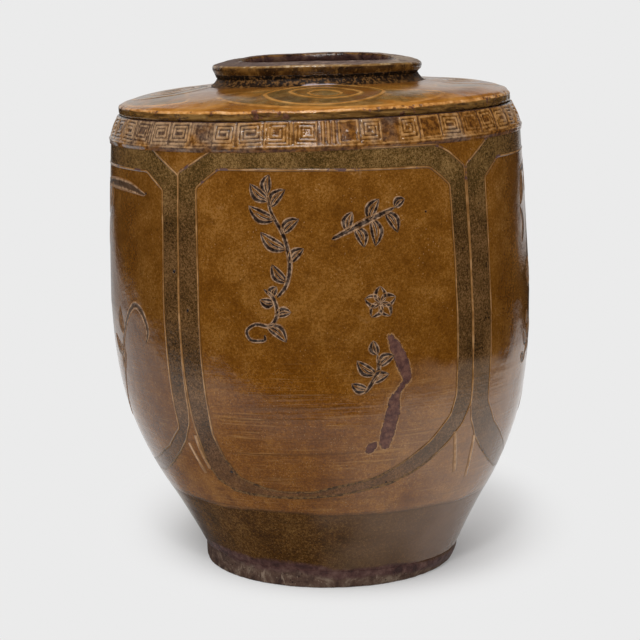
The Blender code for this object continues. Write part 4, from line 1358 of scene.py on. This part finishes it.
def make_strokes(name, plants, material):
    strokes = []
    for plant, (points, turn) in enumerate(plants):
        for number, stroke in enumerate(points):
            placed = [(math.radians(a + turn), z * MM, 1.3 * w * MM) for a, z, w in stroke]
            flat = np.array(placed)[:, :2] * (FITTED_WALL_RADIUS, 1)
            length = np.linalg.norm(np.diff(flat, axis=0), axis=1).sum()
            curve = curve_through(placed, max(int(length / (1.3 * MM)), 8))
            width = np.maximum(curve[:, 2], 0.36 * MM)
            order = np.arange(len(width))
            taper = np.clip(np.minimum(order, order[::-1]) / 3 + 0.3, 0, 1)
            title, path = f"{name}_{plant}_{number}", curve[:, :2]
            strokes.append(lay_strip(title, WALL, path, width * taper, STROKE_SECTION, height=taper))
    ground(join(name, strokes), material, "slip_line")


def square_spiral(half, pitch, runs):
    """Corners of a square spiral that winds inwards from the lower right."""
    left, right, bottom, top = -half[0], half[0], -half[1], half[1]
    corners = [(right, bottom)]
    for run in range(runs):
        side = run % 4
        if side == 0:
            corners.append((left, bottom))
            bottom += pitch
        elif side == 1:
            corners.append((left, top))
            left += pitch
        elif side == 2:
            corners.append((right, top))
            top -= pitch
        else:
            corners.append((right, bottom))
            right -= pitch
    return np.array(corners)


def ridge_from(u, v, corners, half_width):
    """A raised line through the corners on a tile: 1 on its crest, 0 beside it."""
    best = np.full(u.shape, FAR_OFF)
    for start, end in zip(corners[:-1], corners[1:]):
        best = np.minimum(best, distance_along(u, v, 1.0, start, end)[0])
    return 1 - soft_step(best, half_width * 0.35, half_width * 1.45)


# How each stamped tile came out, going right round the front: its middle in degrees, and
# c clear, f faint, s smeared, w wide, v upright ridges, b blank in a frame, p plain
SEEN_TILES = (
    (-76.5, "c"), (-69.5, "f"), (-62.6, "c"), (-53.4, "f"), (-45.7, "c"), (-38.1, "c"), (-31.1, "s"),
    (-24.2, "c"), (-17.6, "c"), (-9.2, "w"), (-1.7, "f"), (3.3, "v"), (8.5, "b"), (15.1, "c"),
    (20.3, "p"), (24.9, "c"), (31.7, "b"), (38.8, "c"), (46.6, "s"), (53.6, "f"), (61.7, "c"),
    (70.0, "c"),
)
HIDDEN_TILES = "cfccbccsccfcccwccfcbccscccf"
TILE_DEPTHS = {"c": 1.0, "f": 0.6, "s": 0.42, "w": 1.0, "v": 0.8, "b": 0.75, "p": 0.25}
SPIRAL_RUNS = {"c": 11, "f": 10, "s": 8}
TILE_HALF_HEIGHT = 8.7 * MM


def all_tiles():
    """Every tile's middle, edges and kind, in radians, once round from the left of the front."""
    middles = [angle for angle, _ in SEEN_TILES]
    kinds = [kind for _, kind in SEEN_TILES]
    start, end = middles[-1], middles[0] + 360
    for number, kind in enumerate(HIDDEN_TILES):
        share = (number + 1) / (len(HIDDEN_TILES) + 1)
        middles.append(start + (end - start) * share + 0.5 * math.sin(number * 2.1))
        kinds.append(kind)
    middles = np.radians(middles)
    before = np.concatenate([[middles[-1] - math.tau], middles[:-1]])
    after = np.concatenate([middles[1:], [middles[0] + math.tau]])
    return middles, (before + middles) / 2, (middles + after) / 2, kinds


def stamped_ridges(kind, u, v, half, wide):
    """The raised lines of one tile, at places u across and v up from its middle."""
    tall = TILE_HALF_HEIGHT

    def upright(across):
        return ridge_from(u, v, ((across, -tall), (across, tall)), 1.1 * MM)

    if kind in SPIRAL_RUNS:
        corners = square_spiral((min(wide, 10.2 * MM), tall), 3.15 * MM, SPIRAL_RUNS[kind])
        return ridge_from(u, v, corners, 1.1 * MM)
    if kind == "w":
        ridge = ridge_from(u, v, square_spiral((8.4 * MM, tall), 3.1 * MM, 10), 1.1 * MM)
        for way in (-1, 1):
            beside = way * (half - 2.0 * MM)
            ridge = np.maximum(ridge, ridge_from(u, v, ((beside, -tall), (beside, tall)), 1.0 * MM))
        return ridge
    if kind == "v":
        return np.max([upright(across * half) for across in (-0.62, -0.08, 0.46)], axis=0)
    if kind == "b":
        frame_lines = square_spiral((wide, tall), 30 * MM, 4)
        crest = ((-wide, -tall), (-wide, tall), (wide, tall), (wide, -tall), (-wide, -tall))
        ridge = np.maximum(ridge_from(u, v, frame_lines, 0.9 * MM), ridge_from(u, v, crest, 0.9 * MM))
        return np.maximum(ridge, 0.45 * (1 - soft_step(np.hypot(u, v * 0.8), 0, 2.6 * MM)))
    return np.zeros(u.shape)


def make_fret_band(material):
    """The stamped strip: a fine sheet pressed tile by tile, with its raised foot line."""
    columns, rows = 2112, 44
    height = BAND_TOP - BAND_FOOT
    deselect()
    bpy.ops.mesh.primitive_grid_add(x_subdivisions=columns, y_subdivisions=rows)
    band = bpy.context.object
    band.name = "stamped_fret_band"
    middles, starts, ends, kinds = all_tiles()
    angle = starts[0] + np.arange(columns + 1) / columns * math.tau
    rise = np.linspace(-3.4 * MM, height + 0.5 * MM, rows + 1)
    lift = np.zeros((rows + 1, columns + 1))
    relief = np.zeros_like(lift)
    groove = np.zeros_like(lift)
    tile_of = np.clip(np.searchsorted(ends, angle, side="right"), 0, len(middles) - 1)
    for tile, kind in enumerate(kinds):
        picked = tile_of == tile
        half = (ends[tile] - starts[tile]) / 2 * FITTED_WALL_RADIUS
        shift = (starts[tile] + ends[tile]) / 2
        wave = math.sin(tile * 2.3) * 0.4 * MM
        tilt = 0.045 * math.sin(tile * 1.7 + 0.4)
        u = ((angle[picked] - shift) * FITTED_WALL_RADIUS)[None, :] + wave
        v = (rise - 11.5 * MM)[:, None] + 0.3 * MM * math.cos(tile * 1.9)
        u, v = u + tilt * v, v - tilt * u
        shape = (rows + 1, picked.sum())
        u, v = np.broadcast_to(u, shape), np.broadcast_to(v, shape)
        if tile % 2:
            u = -u
        wide = min(half - 1.7 * MM, 11.0 * MM)
        depth = TILE_DEPTHS[kind]
        ridge = stamped_ridges(kind, u, v, half, wide)
        box = np.maximum(np.abs(u) - (wide + 1.3 * MM), np.abs(v) - (TILE_HALF_HEIGHT + 1.3 * MM))
        pressed = soft_step(-box, -0.3 * MM, 0.9 * MM)
        lift[:, picked] = pressed * (ridge * depth * 0.95 - 0.55 * (0.5 + 0.5 * depth)) * MM
        relief[:, picked] = (1 - pressed) * 0.45 + pressed * ridge * depth
        near = np.minimum(angle[picked] - starts[tile], ends[tile] - angle[picked]) * FITTED_WALL_RADIUS
        cut = (0.45 + 0.5 * abs(math.sin(tile * 3.1))) * (0.3 if kind == "p" else 1.0)
        groove[:, picked] = (cut * np.exp(-((near / (0.75 * MM)) ** 2)))[None, :]
    flat_angle = np.broadcast_to(angle[None, :], lift.shape)
    flat_rise = np.broadcast_to(rise[:, None], lift.shape)
    above = soft_step(flat_rise, 0.9 * MM, 2.2 * MM)
    lift = lift * above - groove * above * 0.6 * MM
    relief, groove = relief * above, groove * above
    foot_ridge = np.exp(-(((flat_rise - 0.3 * MM) / (0.85 * MM)) ** 2))
    places = BAND.place(flat_angle, flat_rise + BAND_FOOT).reshape(-1, 3)
    broken = soft_step(grain(places, 38, 11.0).reshape(lift.shape), -0.45, -0.05)
    lift = lift + foot_ridge * 0.75 * MM * (0.35 + 0.65 * broken)
    relief = relief + foot_ridge * 0.95 * (0.3 + 0.7 * broken)
    tuck = soft_step(-flat_rise, 0.6 * MM, 3.6 * MM)
    lift = lift - tuck * 2.0 * MM
    head = soft_step(flat_rise, height - 0.9 * MM, height + 0.3 * MM)
    lean_in = soft_step(flat_rise, 9 * MM, height) * np.sin(flat_angle) ** 2
    lift = lift - head * 1.6 * MM - lean_in * np.where(np.sin(flat_angle) > 0, 2.0 * MM, 1.2 * MM)
    relief = relief * (1 - head)
    # painted shade: the strip's top, under the shoulder's edge, is marked dark like the joins between
    # tiles
    groove = np.maximum(groove, soft_step(flat_rise, height - 0.8 * MM, height))
    dents = grain(places, 60, 2.0).reshape(lift.shape)
    smear = soft_step(grain(places, 34, 6.0).reshape(lift.shape), 0.05, 0.45)
    lift = lift * (1 - 0.45 * smear) + dents * 0.4 * MM - 0.35 * MM
    points = BAND.place(flat_angle, flat_rise + BAND_FOOT, lift)
    write_points(band, points.reshape(-1, 3))
    patchy = soft_step(grain(places, 24, 8.0).reshape(lift.shape), -0.1, 0.3)
    mark(band, "relief", relief * (1 - 0.45 * smear) + 0.2 * smear * above)
    mark(band, "groove", groove)
    mark(band, "foot_zone", soft_step(-flat_rise, 0.7 * MM, 1.8 * MM) * patchy)
    merge_doubles()
    return ground(band, material, "amber_glaze", "fret_band")


LENS_MIDDLE = 3.0  # degrees; the other three quarters follow it
# Half length and half width in metres, way of the middle, slant, and how round the ends are
LENSES = {
    "outer": (0.0530, 0.0360, 0.0500, -0.02, 0.5),
    "middle": (0.0312, 0.0205, 0.0520, -0.20, 0.45),
    "eye": (0.0148, 0.0115, 0.0480, -0.17, 0.45),
    "sweep": (0.1060, 0.0280, 0.0355, -0.10, 0.6),
}


def lens_path(kind, turn, count=60):
    """A closed lens on the shoulder, as (angle, way)."""
    half_length, half_width, middle, slant, blunt = LENSES[kind]
    path = []
    for t in np.linspace(0, math.tau, count, endpoint=False):
        along = half_length * math.cos(t)
        out = math.sin(t) * (blunt + (1 - blunt) * abs(math.sin(t)))
        way = middle + half_width * out + slant * along
        path.append((math.radians(turn) + along / (SHOULDER_RADIUS - middle), way))
    return np.array(path)


def lens_distance(angle, way, kind):
    """Signed distance from each place on the shoulder to the nearest lens, positive inside."""
    turn = (angle - math.radians(LENS_MIDDLE) + math.pi / 4) % (math.pi / 2) - math.pi / 4
    return distance_inside(turn, way, SHOULDER_RADIUS - LENSES[kind][2], lens_path(kind, 0.0))


def shoulder_droop(points):
    """Sinks and swells the upright shoulder where the real one left the true cone."""
    angle, radius = round_axis(points)
    side = np.sin(angle)
    swell = soft_step(radius, 0.130, 0.164) * soft_step(-radius, -0.1855, -0.178)
    rise = swell * np.where(side > 0, 1.7 * MM, 0.6 * MM) * side**2
    high = points[:, 2] > SHOULDER_EDGE_FOOT + 3 * MM
    return (rise - sunk_sides(angle, radius)) * high


def make_shoulder(material):
    """The low cone with its worn edge band, and the dark join under the rim."""
    edge = SHOULDER_RADIUS
    under = ((22, -0.5), (3.2, -0.5), (1.0, -0.5), (0.35, 0.3), (0.05, 1.2))
    outline = [(edge - inset * MM, SHOULDER_EDGE_FOOT + up * MM) for inset, up in under]
    outline += [(edge, SHOULDER_EDGE_FOOT + up * MM) for up in (2.1, 3.0, 3.9, 4.8, 5.6)]
    corner = np.array((edge, SHOULDER_EDGE_TOP + 0.2 * MM))
    start, end = np.array((edge, SHOULDER_EDGE_TOP - 1.9 * MM)), np.array(shoulder_outline(3.0 * MM))
    for t in (0, 0.15, 0.3, 0.45, 0.6, 0.75, 0.9):
        outline.append(tuple(start * (1 - t) ** 2 + corner * 2 * t * (1 - t) + end * t * t))
    last = edge - 101.8 * MM
    outline += [shoulder_outline(way) for way in np.linspace(3.0 * MM, last, 50).tolist()]
    foot = shoulder_outline(last)
    fillet = (
        (1.1, 0.4), (2.1, 0.9), (3.1, 1.6), (4.0, 2.4), (4.9, 3.3), (5.7, 4.4), (6.4, 5.6), (7.0, 6.8),
    )
    outline += [(foot[0] - across * MM, foot[1] + up * MM) for across, up in fillet]
    outline.append((NECK_RADIUS - 2 * MM, foot[1] + 7.0 * MM))
    outline.append((NECK_RADIUS - 6 * MM, NECK_FOOT + 3.6 * MM))
    outline.append((NECK_RADIUS - 9 * MM, NECK_FOOT - 8.5 * MM))
    outline.append((edge - 30 * MM, outline[0][1]))
    shoulder = turn_on_wheel("glazed_shoulder", outline, WHEEL_STEPS)
    points = read_points(shoulder)
    angle, radius = round_axis(points)
    way = SHOULDER_RADIUS - radius
    line = SHOULDER_EDGE_TOP + way / (SHOULDER_RADIUS - NECK_RADIUS) * SHOULDER_RISE
    top = points[:, 2] > line - 3.2 * MM
    height = points[:, 2].copy()
    lumps = grain(points, 24, 2.0)
    chips = grain(points, 90, 5.0) + 0.5 * grain(points, 260, 8.0) + 0.8 * grain(points, 34, 3.0)
    near_edge = soft_step(radius, edge - 6 * MM, edge - 1 * MM)
    points[:, 2] += 0.4 * MM * (lumps - 0.5) * top * soft_step(way, 0, 10 * MM)
    lean_in = 1.3 * MM * np.maximum(np.sin(angle), 0) ** 2
    push_out(points, angle, near_edge * (0.75 * MM * (chips - 0.9) - lean_in))
    points[:, 2] += near_edge * 0.7 * MM * (chips - 0.5) * (height > SHOULDER_EDGE_FOOT + 2 * MM)
    points[:, 2] += shoulder_droop(points)
    write_points(shoulder, points)
    for kind in LENSES:
        name = kind if kind == "sweep" else f"lens_{kind}"
        mark(shoulder, name, lens_distance(angle, way, kind))
    above_top = height - SHOULDER_EDGE_TOP
    corner_line = soft_step(radius, edge - 3.6 * MM, edge - 0.9 * MM)
    side = soft_step(radius, edge - 1.6 * MM, edge - 0.7 * MM)
    mark(shoulder, "edge", corner_line * soft_step(above_top, -2.3 * MM, -0.9 * MM))
    mark(shoulder, "side", side * soft_step(-above_top, 0.9 * MM, 2.1 * MM))
    mark(shoulder, "neck", soft_step(way, 80.5 * MM, 84 * MM) * top)
    mark(shoulder, "under", ~top * (radius < edge - 4 * MM))
    points = read_points(shoulder)
    crumble = grain(points, 300, 4.0) + grain(points, 140, 2.0) - 0.6
    push_out(points, angle, soft_step(way, 82 * MM, 86 * MM) * top * crumble * 0.5 * MM)
    write_points(shoulder, points)
    return ground(shoulder, material, "amber_glaze", "shoulder_slab", "neck_collar")


def shoulder_line(name, kind, middle, half_width):
    """One broad, nearly flush lens line that follows the shoulder's droop."""
    path = lens_path(kind, middle)
    line = trailed_line(name, SHOULDER, path, True, half_width, lambda p: np.full(len(p), 0.5), 3 * MM)
    points = read_points(line)
    points[:, 2] += shoulder_droop(points) - 0.05 * MM
    write_points(line, points)
    return line


def make_medallion_lines(material):
    """An outer lens line, and an inner lens round an eye, on each quarter of the shoulder."""
    for number in range(4):
        middle = LENS_MIDDLE + 90 * number
        line = shoulder_line(f"medallion_outer_{number + 1}", "outer", middle, 2.2 * MM)
        ground(line, material, "slip_line", f"medallion_line_{number + 1}")
        inner = shoulder_line(f"medallion_middle_{number + 1}", "middle", middle, 2.0 * MM)
        eye = shoulder_line(f"eye_{number + 1}", "eye", middle, 1.5 * MM)
        joined = join(f"medallion_eye_lines_{number + 1}", [inner, eye])
        ground(joined, material, "slip_line", f"medallion_eye_{number + 1}")


def make_rim(material):
    """The thick rim: an undercut face that leans out, a worn edge that carries a painted highlight, and
    a round lip.
    """
    outline = [
        (94.0, 464.6), (95.0, 465.4), (95.6, 466.6), (96.1, 468.0), (96.7, 469.6), (97.3, 471.2),
        (98.0, 472.6), (98.6, 473.9), (98.9, 475.2), (98.95, 476.4), (98.7, 477.5), (98.1, 478.3),
        (97.1, 478.9), (95.6, 479.3), (93.4, 479.5), (90.6, 479.8), (87.6, 480.2), (84.8, 480.7),
        (82.4, 481.1), (80.4, 481.4), (78.6, 481.5), (76.6, 481.4), (74.8, 481.0), (73.4, 480.1),
        (72.6, 478.6), (72.1, 476.8), (72.2, 474.8), (72.8, 472.6), (73.6, 470.4), (74.4, 468.0),
        (74.6, 465.0), (74.6, 461.0), (74.8, 457.0), (76.0, 455.9), (81.6, 456.2), (82.4, 459.6),
        (88.0, 463.0),
    ]
    rim = turn_on_wheel("worn_rim", [(r * MM, z * MM) for r, z in outline], 360)
    points = read_points(rim)
    angle, radius = round_axis(points)
    height = points[:, 2].copy()
    lumps = grain(points, 20, 1.0) * 0.8 + grain(points, 60, 3.0) * 0.4
    fine = grain(points, 190, 6.0)
    crumbs = grain(points, 340, 2.0)
    outer = soft_step(radius, 76 * MM, 84 * MM)
    upper = soft_step(height, 468 * MM, 474 * MM)
    points[:, 2] += upper * (lumps - 0.7) * 0.6 * MM + fine * 0.12 * MM * upper
    points[:, 2] -= rim_droop(angle) * soft_step(height, 464 * MM, 474 * MM)
    low = (1 - soft_step(height, 467 * MM, 471 * MM)) * outer
    push = (lumps - 0.9) * 0.6 * MM * outer + fine * 0.15 * MM + low * crumbs * 0.7 * MM
    push_out(points, angle, np.where(radius < 76 * MM, fine * 0.2 * MM + lumps * 0.3 * MM, push))
    write_points(rim, points)
    dry = soft_step(height, 478.0 * MM, 479.0 * MM) * soft_step(radius, 73.6 * MM, 75.5 * MM)
    foot = soft_step(-height, -471.4 * MM, -467.4 * MM) * (radius > 88 * MM)
    gold = soft_step(height, 476.2 * MM, 477.6 * MM) * soft_step(radius, 95.6 * MM, 97.4 * MM)
    mark(rim, "dry", dry)
    mark(rim, "foot", foot)
    # the painted highlight on the edge is strongest at the front
    mark(rim, "gold", gold * (0.55 + 0.45 * np.cos(angle + 0.1)))
    inside = soft_step(-radius, -76.5 * MM, -74.5 * MM) * soft_step(-height, -480.5 * MM, -478.5 * MM)
    mark(rim, "inside", inside)
    return ground(rim, material, "brown_glaze", "mouth_rim")


def make_foot(material):
    """The base slab: a rough raw edge drawn in at the floor, cut level underneath."""
    rim = WALL_FOOT_RADIUS
    shelf = ((5, 0.8), (1.4, 0.6), (0.45, 0.05), (0.25, -0.25), (0.1, -0.7))
    outline = [(0.0, SLAB_TOP), (60 * MM, SLAB_TOP), (104 * MM, SLAB_TOP)]
    outline += [(rim - inset * MM, SLAB_TOP + up * MM) for inset, up in shelf]
    profile = (
        (14.2, 0.1), (12.8, 0.2), (11.4, 0.3), (10, 0.4), (8.6, 0.5), (7.2, 0.7), (5.8, 0.9),
        (4.4, 1.2), (3.2, 1.5), (2.1, 1.9), (1.2, 2.3), (0.5, 2.8),
    )
    outline += [(rim - inset * MM, h * MM) for h, inset in profile]
    outline += [(rim - 3.5 * MM, 0.0)]
    outline += [(r * MM, 0.0) for r in (108, 98, 88, 78, 68, 58, 48, 38, 28, 18, 9)] + [(0.0, 0.0)]
    foot = turn_on_wheel("raw_foot", outline, 340, closed=False)
    points = read_points(foot)
    angle, radius = round_axis(points)
    share = np.clip((SLAB_TOP - points[:, 2]) / SLAB_TOP, 0, 1)
    side = soft_step(radius, 100 * MM, 114 * MM)
    lumps = grain(points, 38, 2.0)
    chips = grain(points, 120, 4.0) + 0.6 * grain(points, 300, 7.0)
    low = soft_step(share, 0.15, 1.0)
    push = side * (-0.30 * MM + 0.35 * MM * lumps + 0.3 * MM * chips) * soft_step(share, -0.1, 0.4)
    push = push - side * low * (0.3 * MM + 0.7 * MM * chips + 0.7 * MM * lumps)
    spread, drawn_in = np.cos(angle + math.radians(38)), np.cos(angle - math.radians(52))
    uneven = 3.2 * MM * np.maximum(spread, 0) - 4.4 * MM * np.maximum(drawn_in, 0) ** 2
    push = push + side * low * uneven
    push = push - side * soft_step(share, 0.8, 1.0) * 0.8 * MM * np.abs(grain(points, 210, 3.0))
    push_out(points, angle, np.minimum(push, rim - 0.3 * MM - radius))
    under = share > 0.99
    hollow = soft_step(-radius, -96 * MM, -80 * MM)
    scrape = 0.35 * MM * np.sin(radius * 700 + angle * 2)
    lift = hollow * (1.0 * MM + scrape) + np.abs(grain(points, 90, 5.0)) * 0.35 * MM
    points[:, 2] += under * lift
    write_points(foot, points)
    return ground(foot, material, "raw_clay", "base_slab")


# ---- the studio ----

PALE = 0.8305  # the light of a plain pale background
UNLIT = 0.01


def mirror_ray(r, path):
    """1 for the rays that a glaze or glass sends out, which see a dark room and a pale table."""
    return r.step(path["Is Glossy Ray"] + path["Is Transmission Ray"], 0.0, 0.5)


def make_floor():
    """A pale floor. It keeps the jar's shadow, and shows a glaze the edges of its paper."""
    deselect()
    bpy.ops.mesh.primitive_plane_add(size=1.0, location=(0, 0, 0))
    floor = bpy.context.object
    floor.name = "studio_floor"
    floor.scale = (14.0, 14.0, 1)
    floor.location = (0, 1.0, -0.0004)
    bpy.ops.object.transform_apply(location=True, rotation=True, scale=True)
    material, r = new_recipe("pale_floor")

    def glow(level):
        light = {"Color": (level, level, level), "Strength": 1.0}
        return r.node("ShaderNodeEmission", {}, light)["Emission"]

    path = r.node("ShaderNodeLightPath")
    x, y, _ = r.parts(r.place())
    far_squared = (x - 0.015) * (x - 0.015) + (y - 0.15) * (y - 0.15) * 0.49
    far = r.node("ShaderNodeMath", {"operation": "SQRT"}, {0: far_squared})["Value"]
    shaded = r.step(far, 0.25, 0.135)
    matte = r.node("ShaderNodeBsdfDiffuse", {}, {"Color": (0.83, 0.83, 0.83)})["BSDF"]
    right = r.step(x, 0.0, 0.25)
    back = r.step(y, 0.90, 1.10)
    near = r.step(x - y * 0.55, 0.76, 0.62) * (1 - back)
    # painted shadow: the floor beside the jar's left front is darker in what the glaze mirrors, where
    # the jar's shadow falls
    beside = r.step(x, 0.08, -0.06) * r.step(x, -0.38, -0.25)
    beside = beside * r.step(y, 0.10, 0.0) * r.step(y, -0.40, -0.26)
    left = r.step(x, -1.45, -1.33) * r.step(x + y * 0.75, -1.04, -0.90) * (1 - back * 0.25)
    paper = r.step(y, -0.55, -0.46) * ((1 - right) * left + right * near)
    paper = paper * (1 - r.step(far, 0.7, 1.3) * 0.28) * (1 - beside * 0.6)
    paper = paper + r.step(x, 0.8, 1.1) * r.step(x, 2.8, 2.2) * r.step(y, 2.1, 2.8)
    even = path["Is Camera Ray"] * (1 - shaded)
    shown = r.either(even, matte, glow(PALE))
    shown = r.either(mirror_ray(r, path) * (1 - paper), shown, glow(UNLIT))
    r.node("ShaderNodeOutputMaterial", {}, {"Surface": shown})
    floor.data.materials.append(material)


def make_room_light():
    """Soft even light from all round, a dark room in mirrored rays, and a pale background."""
    world = bpy.data.worlds.new("studio_light")
    bpy.context.scene.world = world
    world.use_nodes = True
    r = Recipe(world.node_tree)
    path = r.node("ShaderNodeLightPath")
    x, y, z = r.parts(r.node("ShaderNodeTexCoord")["Generated"])
    window = r.step(x, -0.66, -0.54) * r.step(x, 0.44, 0.34)
    window = window * r.step(y, 0.1, 0.3) * r.step(z, 0.48, 0.30)

    def sky(strength):
        light = {"Color": (1.0, 1.0, 1.0), "Strength": strength}
        return r.node("ShaderNodeBackground", {}, light)["Background"]

    soft = r.either(r.step(z, 0.0, 1.0), sky(0.62), sky(0.87))
    soft = r.either(r.step(x * x, 0.35, 0.9) * 0.7, soft, sky(1.15))
    mirrored = r.either(window, sky(UNLIT), sky(0.55))
    light = r.either(path["Is Camera Ray"], r.either(mirror_ray(r, path), soft, mirrored), sky(PALE))
    r.node("ShaderNodeOutputWorld", {}, {"Surface": light})


def make_softbox(name, place, aim, size, power):
    bpy.ops.object.light_add(type="AREA", location=place)
    lamp = bpy.context.object
    lamp.name = name
    lamp.rotation_euler = (Vector(aim) - Vector(place)).to_track_quat("-Z", "Y").to_euler()
    lamp.data.shape = "RECTANGLE"
    lamp.data.size, lamp.data.size_y = size
    lamp.data.energy = power


CAMERA_PLACE = (-0.0123, -1.883, 0.559)
CAMERA_TILT_DOWN_DEG = 9.91
CAMERA_LENS_MM = 111.77


def make_camera():
    bpy.ops.object.camera_add(location=CAMERA_PLACE)
    camera = bpy.context.object
    camera.name = "photograph_camera"
    camera.rotation_euler = (math.radians(90 - CAMERA_TILT_DOWN_DEG), 0, 0)
    camera.data.sensor_width = 36
    camera.data.lens = CAMERA_LENS_MM
    camera.data.dof.use_dof = False
    bpy.context.scene.camera = camera


line_finish = slip_line_glaze("slip_line_glaze", True)
stroke_finish = stroke_glaze()
make_wall(wall_glaze())
make_panel_lines(line_finish)
make_pendants(slip_line_glaze("pendant_glaze", False))
front = ((TALL_SPRIG, 0), (CURLED_SPRIG, 0), (SLANTED_SPRIG, 0), (BLOSSOM, 0), (LOW_SPRIG, 0))
make_strokes("front_incised_plants", front, stroke_finish)
make_strokes("left_incised_plants", ((BRANCH, 0),), stroke_finish)
make_strokes("back_incised_plants", [(plant, turn + 180) for plant, turn in front], stroke_finish)
make_strokes("right_incised_plants", ((BRANCH, 160), (BLOSSOM, 64), (LOW_SPRIG, 62)), stroke_finish)
make_fret_band(fret_glaze())
make_shoulder(shoulder_glaze())
make_medallion_lines(painted_line_glaze())
make_rim(rim_glaze())
make_foot(raw_clay())
make_floor()
make_room_light()
make_softbox("high_softbox", (-0.4, -0.9, 2.3), (0, 0, 0.25), (1.1, 1.1), 23)
make_softbox("front_lamp", (-0.10, -2.1, 2.0), (0, 0, 0.42), (0.30, 0.20), 12)
make_camera()
bpy.context.scene.view_settings.view_transform = "Standard"
